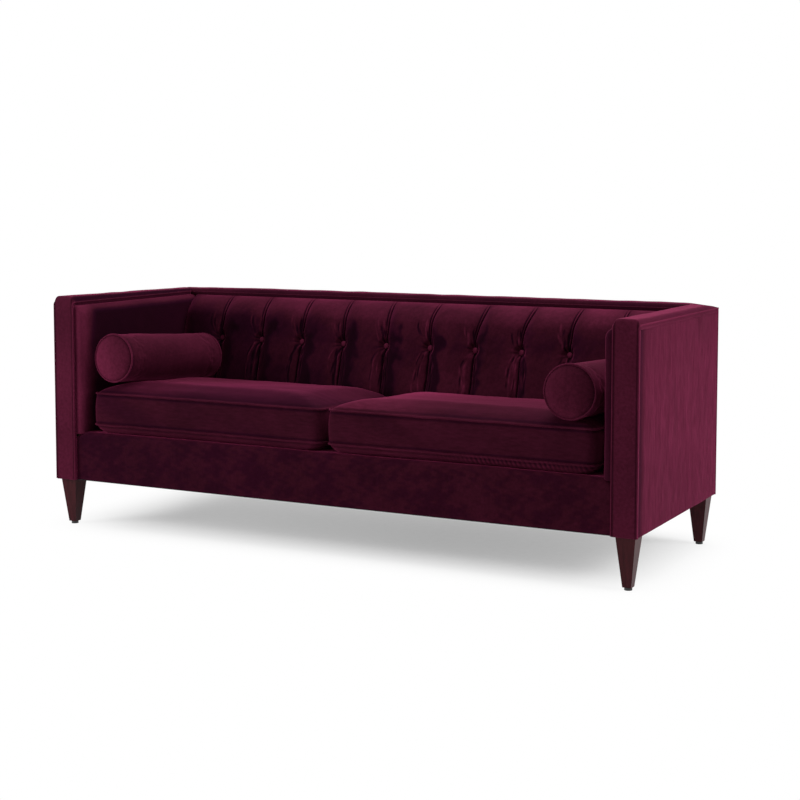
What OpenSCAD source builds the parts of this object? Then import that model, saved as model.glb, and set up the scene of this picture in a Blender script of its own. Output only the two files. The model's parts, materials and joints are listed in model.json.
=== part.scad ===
// Tuxedo sofa: a tight, channel-tufted back and arms of one height on a timber frame,
// with two loose seat cushions, two loose bolsters and four tapered legs.
// The origin is on the floor below the middle of the sofa. The front faces -Y.

/* [Overall size] */
// Width over both arms
overall_w = 2134; // [1500:1:2600]
// Depth from the arm fronts to the outer back
overall_d = 790; // [740:1:900]
// Height of the seam round the tops of the arms and back
seam_h = 785; // [760:1:860]
// Height of the body's underside above the floor
leg_h = 162; // [120:1:185]

/* [Arms and back] */
// Width of the flat upholstered band on the arm fronts and all the tops
band_w = 80; // [78:1:84]
// How far the tops crown above the seam
top_crown = 15; // [4:1:20]
// Radius where an arm's front rolls into its top
arm_corner_r = 22; // [16:1:40]
// How far the inner arm padding stands in from the band
arm_pad_proud = 30; // [20:1:45]
// How far the inner arm padding is rooted behind the band's edge
arm_pad_root = 14; // [10:1:18]
// How far the inner arm padding starts behind the arm's front
arm_pad_setback = 10; // [4:1:11]
// Radius of the padding's upright front edge
arm_pad_edge_r = 16; // [6:1:18]

/* [Tufted back] */
// Number of upholstered channels, side by side
channels = 11; // [7:1:15]
// How far a channel puffs out from the pleats beside it
channel_puff = 24; // [10:1:26]
// Thickness of the back padding at the seat, measured in a pleat
pad_foot_t = 149; // [140:1:155]
// Height above the seat deck's front at which the padding starts to lean back
pad_knee_rise = 137; // [110:1:167]
// Thickness of the back padding at its shoulder, measured in a pleat
pad_shoulder_t = 84; // [70:1:100]
// Depth of that shoulder below the seam round the tops
pad_shoulder_drop = 85; // [65:1:95]
// Depth of the row of buttons below that seam
button_drop = 163; // [145:1:195]
// Diameter of a covered button
button_d = 20; // [14:1:22]
// How far a button pulls the padding in
button_pull = 6; // [2:1:9]

/* [Seat] */
// Height above the floor of the seat deck at its front
deck_h = 333; // [320:1:345]
// Slope of the seat deck towards the back, in degrees
seat_pitch = 3; // [1:0.5:4]
// How far the front rail stands back from the arm fronts
rail_setback = 12.5; // [8:0.5:20]
// Radius of the front rail's padded top edge
rail_roll_r = 18; // [8:1:19]
// Number of springs under each seat
springs_per_seat = 5; // [3:1:7]

/* [Seat cushions] */
// How far a cushion's foot stands back from the face of the front rail
cushion_setback = 4; // [0:1:10]
// Gap between a cushion's upper rear seam and the channels of the back
cushion_back_gap = 8; // [2:1:30]
// Height of a cushion's front boxing from seam to seam
boxing_h = 108; // [80:1:125]
// How far a cushion's underside drops below its lower seam
cushion_belly = 28; // [22:1:34]
// How far a cushion's top crowns above its upper seam
cushion_crown = 43; // [30:1:55]
// Gap between a cushion and the arm beside it
cushion_side_gap = 30; // [12:1:45]
// Gap between the two cushions
cushion_middle_gap = 18; // [6:1:30]
// Radius of a cushion's upright corners
cushion_corner_r = 30; // [15:1:45]
// How far a cushion's sides draw in between its corners
cushion_side_pull = 6; // [0:1:12]

/* [Bolsters] */
// Diameter of a bolster
bolster_d = 170; // [140:1:190]
// Length of a bolster from seam to seam
bolster_len = 505; // [400:1:510]
// How far a bolster's round ends bulge
bolster_bulge = 11; // [4:1:14]
// Gap between the left bolster's front end and the arm beside it
left_bolster_gap = 25; // [2:1:40]
// Gap between the right bolster's front end and the arm beside it
right_bolster_gap = 30; // [2:1:40]
// How far the left bolster beds down into its cushion
left_bolster_bed = 3; // [1:1:15]
// How far the right bolster beds down into its cushion
right_bolster_bed = 14; // [1:1:18]
// Angle by which the left bolster's far end is turned towards the middle
left_bolster_turn = 3; // [0:1:6]
// Angle by which the right bolster's far end is turned towards the middle
right_bolster_turn = 0; // [0:1:6]
// Gap between the left bolster's rear seam and the channels of the back
left_bolster_rear_gap = 2; // [1:1:40]
// Gap between the right bolster's rear seam and the channels of the back
right_bolster_rear_gap = 15; // [1:1:40]

/* [Legs] */
// Side of a square leg at its top
leg_top = 62; // [50:1:66]
// Side of a square leg at its foot
leg_foot = 28; // [22:1:44]
// Height of the glide under a leg
glide_h = 9; // [4:1:14]
// How far a leg stands in from the sofa's side
leg_side_inset = 9; // [6:1:16]
// How far a leg stands in from the sofa's front and back
leg_end_inset = 15; // [12:1:20]

/* [Timber and materials] */
// Thickness of the sawn rails
rail_t = 28; // [22:1:32]
// Depth of the front posts, along the arm
post_d = 50; // [44:1:56]
// How far the centre seat rail's top lies below the back seat rail's
centre_rail_drop = 15; // [8:1:60]
// Thickness of the covering cloth
cloth_t = 2; // [1.5:0.5:3]
// Thickness of the boards behind the cloth and the padding
board_t = 3; // [2:0.5:4]
// Thickness of the foam wrapped round fronts and tops
wrap_t = 10; // [6:1:12]
// Thickness of the seat deck's pad
deck_pad_t = 18; // [12:1:24]
// Diameter of the spring wire
wire_d = 4; // [3:0.5:4]
// Width of a zigzag spring over its bends
spring_w = 60; // [50:1:70]
// Number of runs in a zigzag spring
spring_runs = 19; // [11:2:23]

/* [Hidden] */
$fn = 96;

// Colours, as the photograph shows them
velvet = [0.32, 0.08, 0.17];
velvet_light = [0.38, 0.11, 0.21];
timber = [0.80, 0.66, 0.47];
plywood = [0.72, 0.58, 0.40];
card = [0.68, 0.60, 0.48];
foam = [0.93, 0.90, 0.78];
steel = [0.62, 0.63, 0.65];
leg_wood = [0.17, 0.07, 0.06];
black = [0.05, 0.05, 0.05];

// Overrun of every cut
over = 1;
// Gap between pieces that rest on each other but belong to different bodies
rest_gap = 0.3;

// Outer half sizes, and the layers from the outer cloth inwards
half_w = overall_w / 2;
half_d = overall_d / 2;
cloth_x = half_w - cloth_t;
cloth_y = half_d - cloth_t;
timber_x = cloth_x - board_t;
timber_y = cloth_y - board_t;
band_x = half_w - band_w;
band_y = half_d - band_w;
board_x = band_x + arm_pad_root;
board_y = band_y + arm_pad_root;
inner_x = board_x + board_t;
inner_y = board_y + board_t;
pad_x = band_x - arm_pad_proud;
post_front = -(half_d - cloth_t - wrap_t);
timber_top = seam_h - cloth_t - wrap_t;
crown_h = seam_h + top_crown;

// Underside of the frame, and the cloth below it
frame_z = leg_h + cloth_t;
dust_t = cloth_t / 2;

// Front rail and the deck behind it
rail_front = rail_setback - half_d;
rail_timber_front = rail_front + cloth_t + wrap_t;
rail_timber_back = rail_timber_front + rail_t;
deck_front = rail_front + cloth_t + rail_roll_r + cloth_t;
clip_h = wire_d + cloth_t;
clip_d = wire_d + 2 * cloth_t;
clip_w = spring_w / 4;
wire_fit = 0.4;
deck_stack = cloth_t + deck_pad_t + rest_gap + clip_h;
function deck_at(y) = deck_h - tan(seat_pitch) * (y - deck_front);
front_rail_top = deck_at(rail_timber_back) - deck_stack;

// Springs run from the middle of the clip on the front rail to the one on the back rail
spring_front = rail_timber_back - clip_d;
spring_back = inner_y + rail_t / 2;
back_rail_top = deck_at(spring_back + clip_d / 2) - deck_stack;
seat_inner_w = inner_x - rail_t / 2;
spring_spacing = seat_inner_w / (springs_per_seat + 0.5);
function spring_x(i) = rail_t / 2 + seat_inner_w / 2 + (i - (springs_per_seat - 1) / 2) * spring_spacing;

// Back padding, in a pleat: foot, knee, shoulder and the roll into the band
pad_foot_y = board_y - pad_foot_t;
pad_crest_y = pad_foot_y - channel_puff;
pad_foot_z = deck_at(pad_crest_y) + rest_gap;
pad_knee_h = deck_h + pad_knee_rise;
pad_shoulder_y = board_y - pad_shoulder_t;
pad_shoulder_h = seam_h - pad_shoulder_drop;
button_h = seam_h - button_drop;
pad_lean = atan2(pad_shoulder_y - pad_foot_y, pad_shoulder_h - pad_knee_h);
channel_w = 2 * pad_x / channels;
pad_core_wall = 2 * button_pull;
button_flat = 0.6 * button_d;
button_hold = 0.9 * button_d;
button_reach = 3 * button_d;

// Places of the columns in one channel, as shares of its width
column_shares = [0, 0.07, 0.24, 0.5, 0.76, 0.93];
column_count = channels * len(column_shares) + 1;

// Seat cushions, measured in the tilted frame of the deck
lower_seam = rest_gap + cushion_belly;
upper_seam = lower_seam + boxing_h;
seam_bead = 1.5 * cloth_t;
cushion_w = pad_x - cushion_side_gap - cushion_middle_gap / 2;
cushion_x = cushion_middle_gap / 2 + cushion_w / 2;
cushion_front = rail_front + cushion_setback - deck_front;
cushion_rear = (pad_crest_y - cushion_back_gap - deck_front) / cos(seat_pitch) - upper_seam * tan(seat_pitch);
cushion_d = cushion_rear - cushion_front;
cushion_y = cushion_front + cushion_d / 2;
core_margin = 26;
core_bottom = lower_seam - cushion_belly / 2;
core_h = boxing_h + cushion_belly / 2;
crown_power = 8;

// Bolsters, in the same tilted frame
bolster_r = bolster_d / 2;
bolster_end_r = bolster_r - seam_bead;
bead_sides = 8;
bolster_core_wall = 14;

// Legs
leg_x = half_w - leg_side_inset - leg_top / 2;
leg_y = half_d - leg_end_inset - leg_top / 2;
bolt_d = 8;
bolt_fit = 0.2;
bolt_in_leg = 50;
bolt_in_post = 28;
nut_barrel_d = bolt_d + cloth_t;
nut_barrel_h = 12;
nut_flange_d = 3 * bolt_d;
block_leg = 100;
block_h = 40;

// Extrudes an outline drawn in X and Z along Y, between two places
module along_y(y0, y1) {
    translate([0, y1, 0])
        rotate([90, 0, 0])
            linear_extrude(y1 - y0)
                children();
}

// Extrudes an outline drawn in Y and Z along X, between two places
module along_x(x0, x1) {
    translate([x0, 0, 0])
        rotate([90, 0, 90])
            linear_extrude(x1 - x0)
                children();
}

// Box between two corners
module box(low, high) {
    translate(low)
        cube(high - low);
}

// Rectangle between two corners
module area(low, high) {
    translate(low)
        square(high - low);
}

module at_left() {
    mirror([1, 0, 0])
        children();
}

// Puts what is measured on the deck into the tilted frame of the seat
module on_deck() {
    translate([0, deck_front, deck_h])
        rotate([-seat_pitch, 0, 0])
            children();
}

// Outline of a crowned top over a band: flat sided up to the seam and arched above it
module crowned_band(low, high, base, seam, crown) {
    chord = high - low;
    arch_r = (chord * chord / 4 + crown * crown) / (2 * crown);
    area([low, base], [high, seam]);
    intersection() {
        translate([(low + high) / 2, seam + crown - arch_r])
            circle(arch_r);
        area([low, seam], [high, seam + crown]);
    }
}

// Side outline of an arm, with the rolled corner between its front and its top
module arm_side_outline(inset) {
    front = inset - half_d;
    top = crown_h - inset;
    r = arm_corner_r - inset;
    area([front + r, leg_h], [half_d - inset, top]);
    area([front, leg_h], [front + r, top - r]);
    translate([front + r, top - r])
        circle(r);
}

// Whole padded arm out to the given inset from its outer surface
module arm_envelope(inset) {
    intersection() {
        along_y(inset - half_d, half_d - inset)
            crowned_band(band_x + inset, half_w - inset, leg_h, seam_h - inset, top_crown);
        along_x(band_x, half_w)
            arm_side_outline(inset);
    }
}

// Plan of the ground that an arm's top takes, mitred against the back's
module arm_mitre(base, top) {
    translate([0, 0, base])
        linear_extrude(top - base)
            polygon([[band_x, -half_d], [half_w, -half_d], [half_w, half_d], [band_x, band_y]]);
}

module back_mitre(base, top) {
    translate([0, 0, base])
        linear_extrude(top - base)
            polygon([[-band_x, band_y], [band_x, band_y], [half_w, half_d], [-half_w, half_d]]);
}

// Timber frame

module front_seat_rail() {
    color(timber)
        box([-inner_x, rail_timber_front, frame_z + cloth_t], [inner_x, rail_timber_back, front_rail_top]);
}

module back_seat_rail() {
    color(timber)
        box([-inner_x, inner_y, frame_z], [inner_x, inner_y + rail_t, back_rail_top]);
}

module right_seat_rail() {
    color(timber)
        box([inner_x, post_front + post_d, frame_z], [inner_x + rail_t, inner_y, back_rail_top]);
}

module left_seat_rail() {
    at_left()
        right_seat_rail();
}

module centre_seat_rail() {
    color(timber)
        box([-rail_t / 2, rail_timber_back, frame_z], [rail_t / 2, inner_y, back_rail_top - centre_rail_drop]);
}

// Bore for a leg's T-nut and hanger bolt, up into the end of a post
module leg_bore() {
    translate([leg_x, 0, frame_z - over])
        cylinder(h = nut_barrel_h + over, d = nut_barrel_d + bolt_fit);
    translate([leg_x, 0, frame_z - over])
        cylinder(h = bolt_in_post + over + bolt_fit, d = bolt_d + bolt_fit);
}

module right_front_post() {
    color(timber)
        difference() {
            box([inner_x, post_front, frame_z], [timber_x, post_front + post_d, timber_top - rail_t]);
            translate([0, -leg_y, 0])
                leg_bore();
        }
}

module left_front_post() {
    at_left()
        right_front_post();
}

module right_back_post() {
    color(timber)
        difference() {
            box([inner_x, inner_y, frame_z], [timber_x, timber_y, timber_top - rail_t]);
            translate([0, leg_y, 0])
                leg_bore();
        }
}

module left_back_post() {
    at_left()
        right_back_post();
}

module right_arm_rail() {
    color(timber)
        box([inner_x, post_front, timber_top - rail_t], [timber_x, timber_y, timber_top]);
}

module left_arm_rail() {
    at_left()
        right_arm_rail();
}

module back_top_rail() {
    color(timber)
        box([-inner_x, inner_y, timber_top - rail_t], [inner_x, timber_y, timber_top]);
}

module right_back_upright() {
    x = inner_x / 3;
    color(timber)
        box([x - rail_t / 2, inner_y, back_rail_top + clip_h], [x + rail_t / 2, timber_y, timber_top - rail_t]);
    color(timber)
        box([x - rail_t / 2, inner_y + rail_t, frame_z], [x + rail_t / 2, timber_y, back_rail_top + clip_h]);
}

module left_back_upright() {
    at_left()
        right_back_upright();
}

// Triangular blocks glued into the four corners of the seat frame
module corner_block(y, turn) {
    translate([inner_x, y, frame_z])
        linear_extrude(block_h)
            polygon([[0, 0], [-block_leg, 0], [0, turn * block_leg]]);
}

module corner_blocks() {
    for (side = [0, 1])
        mirror([side, 0, 0])
            color(plywood) {
                corner_block(rail_timber_back, 1);
                corner_block(inner_y, -1);
            }
}

// Seat springs: square zigzag wire between the front and back rails, each one unbroken
// outline. A mark is [x, y, way across, way along]: a point of the wire's middle line,
// and the direction in which its left edge lies.
bend_steps = 4;
function spring_marks(bend_r, run) = concat(
    [[-run, 0, 0, 1]],
    [for (i = [0 : spring_runs - 2])
        for (k = [0 : bend_steps])
            let (way = i % 2 == 0 ? 1 : -1, angle = 180 * k / bend_steps - 90)
            [
                way * (run + bend_r * cos(angle)), bend_r * (2 * i + 1 + sin(angle)),
                -cos(angle), -way * sin(angle)
            ]],
    [[run, 2 * bend_r * (spring_runs - 1), 0, 1]]
);

module zigzag_spring(length) {
    bend_r = length / (2 * (spring_runs - 1));
    marks = spring_marks(bend_r, spring_w / 2 - wire_d / 2 - bend_r);
    last = len(marks) - 1;
    half = wire_d / 2;
    translate([0, 0, -half])
        linear_extrude(wire_d)
            polygon(concat(
                [for (m = marks) [m[0] + half * m[2], m[1] + half * m[3]]],
                [for (i = [last : -1 : 0])
                    [marks[i][0] - half * marks[i][2], marks[i][1] - half * marks[i][3]]]
            ));
}

module seat_springs() {
    rise = back_rail_top - front_rail_top;
    span = spring_back - spring_front;
    for (side = [-1, 1])
        for (i = [0 : springs_per_seat - 1])
            color(steel)
                translate([side * spring_x(i), spring_front, front_rail_top + clip_h / 2])
                    rotate([atan2(rise, span), 0, 0])
                        zigzag_spring(norm([rise, span]));
}

// Clips that hold the springs' ends, each a folded strap round the wire
module spring_clip(y, z) {
    along_x(-clip_w / 2, clip_w / 2)
        difference() {
            area([y - clip_d / 2, z], [y + clip_d / 2, z + clip_h]);
            translate([y, z + clip_h / 2])
                square(wire_d + wire_fit, center = true);
        }
}

module spring_clips() {
    for (side = [-1, 1])
        for (i = [0 : springs_per_seat - 1])
            translate([side * spring_x(i), 0, 0])
                color(black) {
                    spring_clip(spring_front, front_rail_top);
                    spring_clip(spring_back, back_rail_top);
                }
}

// Boards that close the frame's open sides

module right_arm_outer_board() {
    color(card)
        box([timber_x, post_front, frame_z], [cloth_x, cloth_y, timber_top]);
}

module left_arm_outer_board() {
    at_left()
        right_arm_outer_board();
}

// The inner boards are notched over the front seat rail
module right_arm_inner_board() {
    color(card)
        difference() {
            box([board_x, post_front, back_rail_top], [inner_x, inner_y, timber_top]);
            box([board_x - over, post_front - over, back_rail_top - over],
                [inner_x + over, rail_timber_back, front_rail_top]);
        }
}

module left_arm_inner_board() {
    at_left()
        right_arm_inner_board();
}

module outer_back_board() {
    color(card)
        box([-timber_x, timber_y, frame_z], [timber_x, cloth_y, timber_top]);
}

module inner_back_board() {
    color(card)
        box([-board_x, board_y, back_rail_top + 2 * clip_h], [board_x, inner_y, timber_top]);
}

// Inner arm padding out to the given inset: rolled over at its top, rounded down its
// front edge, and cut along the slope of the deck at its foot
module arm_pad(inset) {
    r = arm_pad_proud - inset;
    edge_r = arm_pad_edge_r - inset;
    front = arm_pad_setback + inset - half_d;
    roll_z = timber_top - arm_pad_proud;
    deck_back = deck_at(board_y);
    intersection() {
        along_y(front, board_y)
            union() {
                area([pad_x + inset, deck_back - over], [board_x, roll_z]);
                area([band_x, roll_z], [board_x, timber_top - inset]);
                translate([band_x, roll_z])
                    circle(r);
            }
        along_x(pad_x, board_x)
            polygon([
                [front, deck_h], [deck_front, deck_h], [board_y, deck_back],
                [board_y, timber_top], [front, timber_top]
            ]);
        translate([0, 0, deck_back - over])
            linear_extrude(timber_top - deck_back + 2 * over)
                union() {
                    area([pad_x + inset, front + edge_r], [board_x, board_y]);
                    area([pad_x + inset + edge_r, front], [board_x, front + edge_r]);
                    translate([pad_x + inset + edge_r, front + edge_r])
                        circle(edge_r);
                }
    }
}

module right_arm_foam() {
    color(foam)
        union() {
            intersection() {
                arm_pad(cloth_t);
                box([pad_x, post_front, leg_h], [board_x, board_y, timber_top]);
            }
            box([band_x + cloth_t, post_front, timber_top - cloth_t - over], [board_x, band_y, timber_top]);
            intersection() {
                arm_envelope(cloth_t);
                arm_mitre(timber_top, crown_h);
            }
        }
}

module left_arm_foam() {
    at_left()
        right_arm_foam();
}

module right_arm_front_foam() {
    color(foam)
        intersection() {
            arm_envelope(cloth_t);
            box([band_x, -half_d, frame_z], [half_w, post_front, timber_top]);
        }
}

module left_arm_front_foam() {
    at_left()
        right_arm_front_foam();
}

module back_band(inset) {
    along_x(-half_w, half_w)
        crowned_band(band_y + inset, half_d - inset, timber_top, seam_h - inset, top_crown);
}

module back_top_foam() {
    color(foam)
        intersection() {
            back_band(cloth_t);
            back_mitre(timber_top, crown_h);
            box([-cloth_x, band_y, timber_top], [cloth_x, cloth_y, crown_h]);
        }
}

// Section of the front rail's padding out to the given inset, up to the deck's front
module rail_section(inset) {
    r = rail_roll_r - inset;
    front = rail_front + inset;
    area([front, frame_z + inset], [deck_front, deck_h - inset - r]);
    area([front + r, frame_z + inset], [deck_front, deck_h - inset]);
    intersection() {
        translate([front + r, deck_h - inset - r])
            circle(r);
        area([front, frame_z + inset], [deck_front, deck_h - inset]);
    }
}

module front_rail_foam() {
    color(foam)
        along_x(-board_x, board_x)
            difference() {
                rail_section(cloth_t);
                area([rail_timber_front, leg_h], [deck_front + over, front_rail_top]);
            }
}

// Sloping layer of the deck between two depths below its surface
module deck_layer(top, bottom) {
    along_x(-board_x, board_x)
        polygon([
            [deck_front, deck_h - top], [board_y, deck_at(board_y) - top],
            [board_y, deck_at(board_y) - bottom], [deck_front, deck_h - bottom]
        ]);
}

module seat_deck_pad() {
    color(foam)
        deck_layer(cloth_t, cloth_t + deck_pad_t);
}

module seat_deck_cover() {
    color(velvet)
        deck_layer(0, cloth_t);
}

// Velvet covers

module right_arm_outer_cover() {
    color(velvet_light)
        intersection() {
            box([cloth_x, -half_d, leg_h], [half_w, half_d, seam_h]);
            along_x(cloth_x - over, half_w + over)
                arm_side_outline(0);
        }
}

module left_arm_outer_cover() {
    at_left()
        right_arm_outer_cover();
}

module right_arm_inner_cover() {
    color(velvet)
        intersection() {
            difference() {
                arm_pad(0);
                arm_pad(cloth_t);
            }
            box([pad_x - over, -half_d, leg_h], [band_x, board_y, crown_h]);
        }
}

module left_arm_inner_cover() {
    at_left()
        right_arm_inner_cover();
}

module right_arm_band_cover() {
    color(velvet)
        difference() {
            intersection() {
                arm_envelope(0);
                union() {
                    box([band_x, -half_d, leg_h], [half_w, post_front, crown_h]);
                    arm_mitre(timber_top, crown_h);
                }
            }
            arm_envelope(cloth_t);
            box([cloth_x, -half_d - over, leg_h - over], [half_w + over, half_d + over, seam_h]);
            box([band_x + cloth_t, cloth_y - over, leg_h], [half_w + over, half_d + over, seam_h]);
        }
}

module left_arm_band_cover() {
    at_left()
        right_arm_band_cover();
}

module back_band_cover() {
    color(velvet)
        difference() {
            intersection() {
                back_band(0);
                back_mitre(timber_top, crown_h);
            }
            back_band(cloth_t);
            box([-half_w - over, cloth_y, timber_top - over], [half_w + over, half_d + over, seam_h]);
            for (side = [0, 1])
                mirror([side, 0, 0])
                    box([cloth_x, -half_d, timber_top - over], [half_w + over, half_d + over, seam_h]);
        }
}

module outer_back_cover() {
    color(velvet)
        box([-cloth_x, cloth_y, leg_h], [cloth_x, half_d, seam_h]);
}

module front_rail_cover() {
    color(velvet)
        along_x(-band_x, band_x)
            difference() {
                rail_section(0);
                area([rail_front + cloth_t + rail_roll_r, frame_z + cloth_t], [deck_front + over, deck_h - cloth_t]);
                rail_section(cloth_t);
            }
}

module dust_cover() {
    color(black)
        difference() {
            box([-timber_x, post_front, frame_z - dust_t], [timber_x, timber_y, frame_z]);
            for (x = [-leg_x, leg_x])
                for (y = [-leg_y, leg_y])
                    translate([x, y, leg_h])
                        cylinder(h = 2 * cloth_t, d = nut_flange_d + cloth_t);
        }
}

// Tufted back
//
// A row of the padding's face is [y, z, tilt, puff share]: its place in a pleat, the way
// its surface faces above level, and how much of the channels' puff it has.
function foot_row(share) = [pad_foot_y, pad_foot_z + share * (pad_knee_h - pad_foot_z), 0, 1];
function lean_row(z) = [
    pad_foot_y + tan(pad_lean) * (z - pad_knee_h), z, pad_lean, 1
];
roll_power = 1.5;
roll_fade_power = 4;
function roll_row(angle) = [
    band_y - (band_y - pad_shoulder_y) * pow(cos(angle), roll_power),
    pad_shoulder_h + (timber_top - pad_shoulder_h) * pow(sin(angle), roll_power),
    pad_lean + angle / 2,
    1 - pow(sin(angle), roll_fade_power)
];
foot_shares = [0, 0.6, 1];
below_button_shares = [0.35, 0.7];
above_button_shares = [0.35, 0.7, 1];
roll_angles = [30, 60, 90];
pad_rows = concat(
    [for (s = foot_shares) foot_row(s)],
    [for (s = below_button_shares) lean_row(pad_knee_h + s * (button_h - button_flat - pad_knee_h))],
    [for (i = [-1 : 1]) lean_row(button_h + i * button_flat)],
    [for (s = above_button_shares)
        lean_row(button_h + button_flat + s * (pad_shoulder_h - button_h - button_flat))],
    [for (a = roll_angles) roll_row(a)]
);
row_count = len(pad_rows);

function column_x(c) =
    let (n = len(column_shares), i = floor(c / n))
    -pad_x + channel_w * (i + (i < channels ? column_shares[c % n] : 0));

// How round a channel is across its width, from 0 in a pleat to 1 in its middle
puff_power = 2.4;
rounding_share = 0.001;
function puff_at(x) =
    let (place = (x + pad_x) / channel_w, share = place - floor(place + rounding_share))
    1 - pow(abs(2 * share - 1), puff_power);

// How strongly the nearest button holds a point down: 1 beside it and 0 out of its reach
function hold_at(x, z) =
    let (
        pleat = round((x + pad_x) / channel_w),
        away = norm([x + pad_x - pleat * channel_w, z - button_h]),
        share = 1 - (away - button_hold) / (button_reach - button_hold),
        held = min(1, max(0, share))
    )
    pleat < 1 || pleat > channels - 1 ? 0 : held * held * (3 - 2 * held);

function pad_point(row, c) =
    let (
        r = pad_rows[row],
        x = column_x(c),
        hold = hold_at(x, r[1]),
        out = channel_puff * r[3] * puff_at(x) * (1 - hold) - button_pull * hold
    )
    [x, r[0] - out * cos(r[2]), r[1] + out * sin(r[2])];

module tufted_pad() {
    n = column_count;
    face = [for (r = [0 : row_count - 1]) for (c = [0 : n - 1]) pad_point(r, c)];
    low = [for (c = [0 : n - 1]) [column_x(c), board_y, pad_foot_z]];
    high = [for (c = [0 : n - 1]) [column_x(c), board_y, timber_top]];
    low_i = row_count * n;
    high_i = low_i + n;
    strip_starts = concat(
        [for (r = [0 : row_count - 2]) [r * n, (r + 1) * n]],
        [[(row_count - 1) * n, high_i], [high_i, low_i], [low_i, 0]]
    );
    strips = [
        for (s = strip_starts)
            for (c = [0 : n - 2])
                for (half = [0, 1])
                    half == 0
                        ? [s[0] + c, s[1] + c, s[1] + c + 1]
                        : [s[0] + c, s[1] + c + 1, s[0] + c + 1]
    ];
    ends = [
        for (e = [0, n - 1])
            for (r = [0 : row_count - 1])
                let (a = r * n + e, b = r < row_count - 1 ? a + n : high_i + e)
                e == 0 ? [low_i + e, b, a] : [low_i + e, a, b]
    ];
    polyhedron(points = concat(face, low, high), faces = concat(strips, ends));
}

// Wedge of foam inside the tufted cover
module back_wedge() {
    along_x(pad_core_wall - pad_x, pad_x - pad_core_wall)
        polygon([
            [board_y - cloth_t, pad_foot_z + cloth_t],
            [pad_foot_y + pad_core_wall, pad_foot_z + cloth_t],
            [pad_foot_y + pad_core_wall, pad_knee_h],
            [pad_shoulder_y + 1.5 * pad_core_wall, pad_shoulder_h],
            [board_y - cloth_t, timber_top - 2 * pad_core_wall]
        ]);
}

module back_pad_foam() {
    color(foam)
        back_wedge();
}

module tufted_back_cover() {
    color(velvet)
        difference() {
            tufted_pad();
            back_wedge();
        }
}

// Covered buttons, one in each pleat
module covered_button() {
    dome_h = button_d / 4;
    dome_r = (button_d * button_d / 4 + dome_h * dome_h) / (2 * dome_h);
    rotate_extrude()
        intersection() {
            translate([0, dome_h - dome_r])
                circle(dome_r);
            square([button_d, dome_h]);
        }
}

module back_buttons() {
    seat = lean_row(button_h);
    sink = button_pull - rest_gap;
    for (i = [1 : channels - 1])
        color(velvet)
            translate([i * channel_w - pad_x, seat[0] + sink * cos(pad_lean), button_h - sink * sin(pad_lean)])
                rotate([90 - pad_lean, 0, 0])
                    covered_button();
}

// Seat cushions
//
// Plan of a cushion: rounded corners, and sides that draw in between them. The loop
// starts on the front side and runs anticlockwise.
long_steps = 8;
short_steps = 6;
corner_steps = 3;
function drawn_side(length, reach, pull, steps) = [
    for (i = [0 : steps - 1])
        let (t = 2 * i / steps - 1)
        [t * length, -(reach - pull * (1 - t * t))]
];
function turned(points, angle) = [
    for (p = points) [p[0] * cos(angle) - p[1] * sin(angle), p[0] * sin(angle) + p[1] * cos(angle)]
];
function round_corner(a, b, r) = [
    for (i = [0 : corner_steps - 1])
        let (angle = -90 + 90 * i / corner_steps)
        [a - r + r * cos(angle), -(b - r) + r * sin(angle)]
];
function cushion_loop(a, b, r, pull) = concat(
    drawn_side(a - r, b, pull, long_steps),
    round_corner(a, b, r),
    turned(drawn_side(b - r, a, pull, short_steps), 90),
    turned(round_corner(b, a, r), 90),
    turned(drawn_side(a - r, b, pull, long_steps), 180),
    turned(round_corner(a, b, r), 180),
    turned(drawn_side(b - r, a, pull, short_steps), 270),
    turned(round_corner(b, a, r), 270)
);

// Rings of a cushion from below to above: [share of the plan, height, bead]
belly_shares = [[0.5, 0], [0.92, 0], [0.965, 0.28], [0.99, 0.72]];
crown_shares = [0.97, 0.92, 0.84, 0.7, 0.5, 0.25];
cushion_rings = concat(
    [for (s = belly_shares) [s[0], rest_gap + s[1] * cushion_belly, 0]],
    [[1, lower_seam - seam_bead, 0], [1, lower_seam, seam_bead], [1, lower_seam + seam_bead, 0]],
    [[1, (lower_seam + upper_seam) / 2, seam_bead]],
    [[1, upper_seam - seam_bead, 0], [1, upper_seam, seam_bead], [1, upper_seam + seam_bead, 0]],
    [for (s = crown_shares)
        [s, upper_seam + seam_bead + (cushion_crown - seam_bead) * (1 - pow(s, crown_power)), 0]]
);

module cushion_form() {
    a = cushion_w / 2 - seam_bead;
    b = cushion_d / 2 - seam_bead;
    loops = [
        for (ring = cushion_rings)
            [
                for (p = cushion_loop(
                    a * ring[0] + ring[2], b * ring[0] + ring[2],
                    cushion_corner_r * ring[0] + ring[2], cushion_side_pull * ring[0]
                ))
                    [p[0], p[1], ring[1]]
            ]
    ];
    n = len(loops[0]);
    count = len(loops);
    low_pole = [0, 0, rest_gap];
    high_pole = [0, 0, upper_seam + cushion_crown];
    sides = [
        for (k = [0 : count - 2])
            for (i = [0 : n - 1])
                for (half = [0, 1])
                    let (a0 = k * n + i, a1 = k * n + (i + 1) % n, b0 = a0 + n, b1 = a1 + n)
                    half == 0 ? [a0, b0, b1] : [a0, b1, a1]
    ];
    caps = concat(
        [for (i = [0 : n - 1]) [count * n, i, (i + 1) % n]],
        [for (i = [0 : n - 1]) [count * n + 1, (count - 1) * n + (i + 1) % n, (count - 1) * n + i]]
    );
    polyhedron(
        points = concat([for (loop = loops) each loop], [low_pole, high_pole]),
        faces = concat(sides, caps)
    );
}

module cushion_slab() {
    a = cushion_w / 2 - core_margin;
    b = cushion_d / 2 - core_margin;
    box([-a, -b, core_bottom], [a, b, core_bottom + core_h]);
}

module right_cushion_place() {
    on_deck()
        translate([cushion_x, cushion_y, 0])
            children();
}

module cushion_shell() {
    right_cushion_place()
        difference() {
            cushion_form();
            cushion_slab();
        }
}

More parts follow.
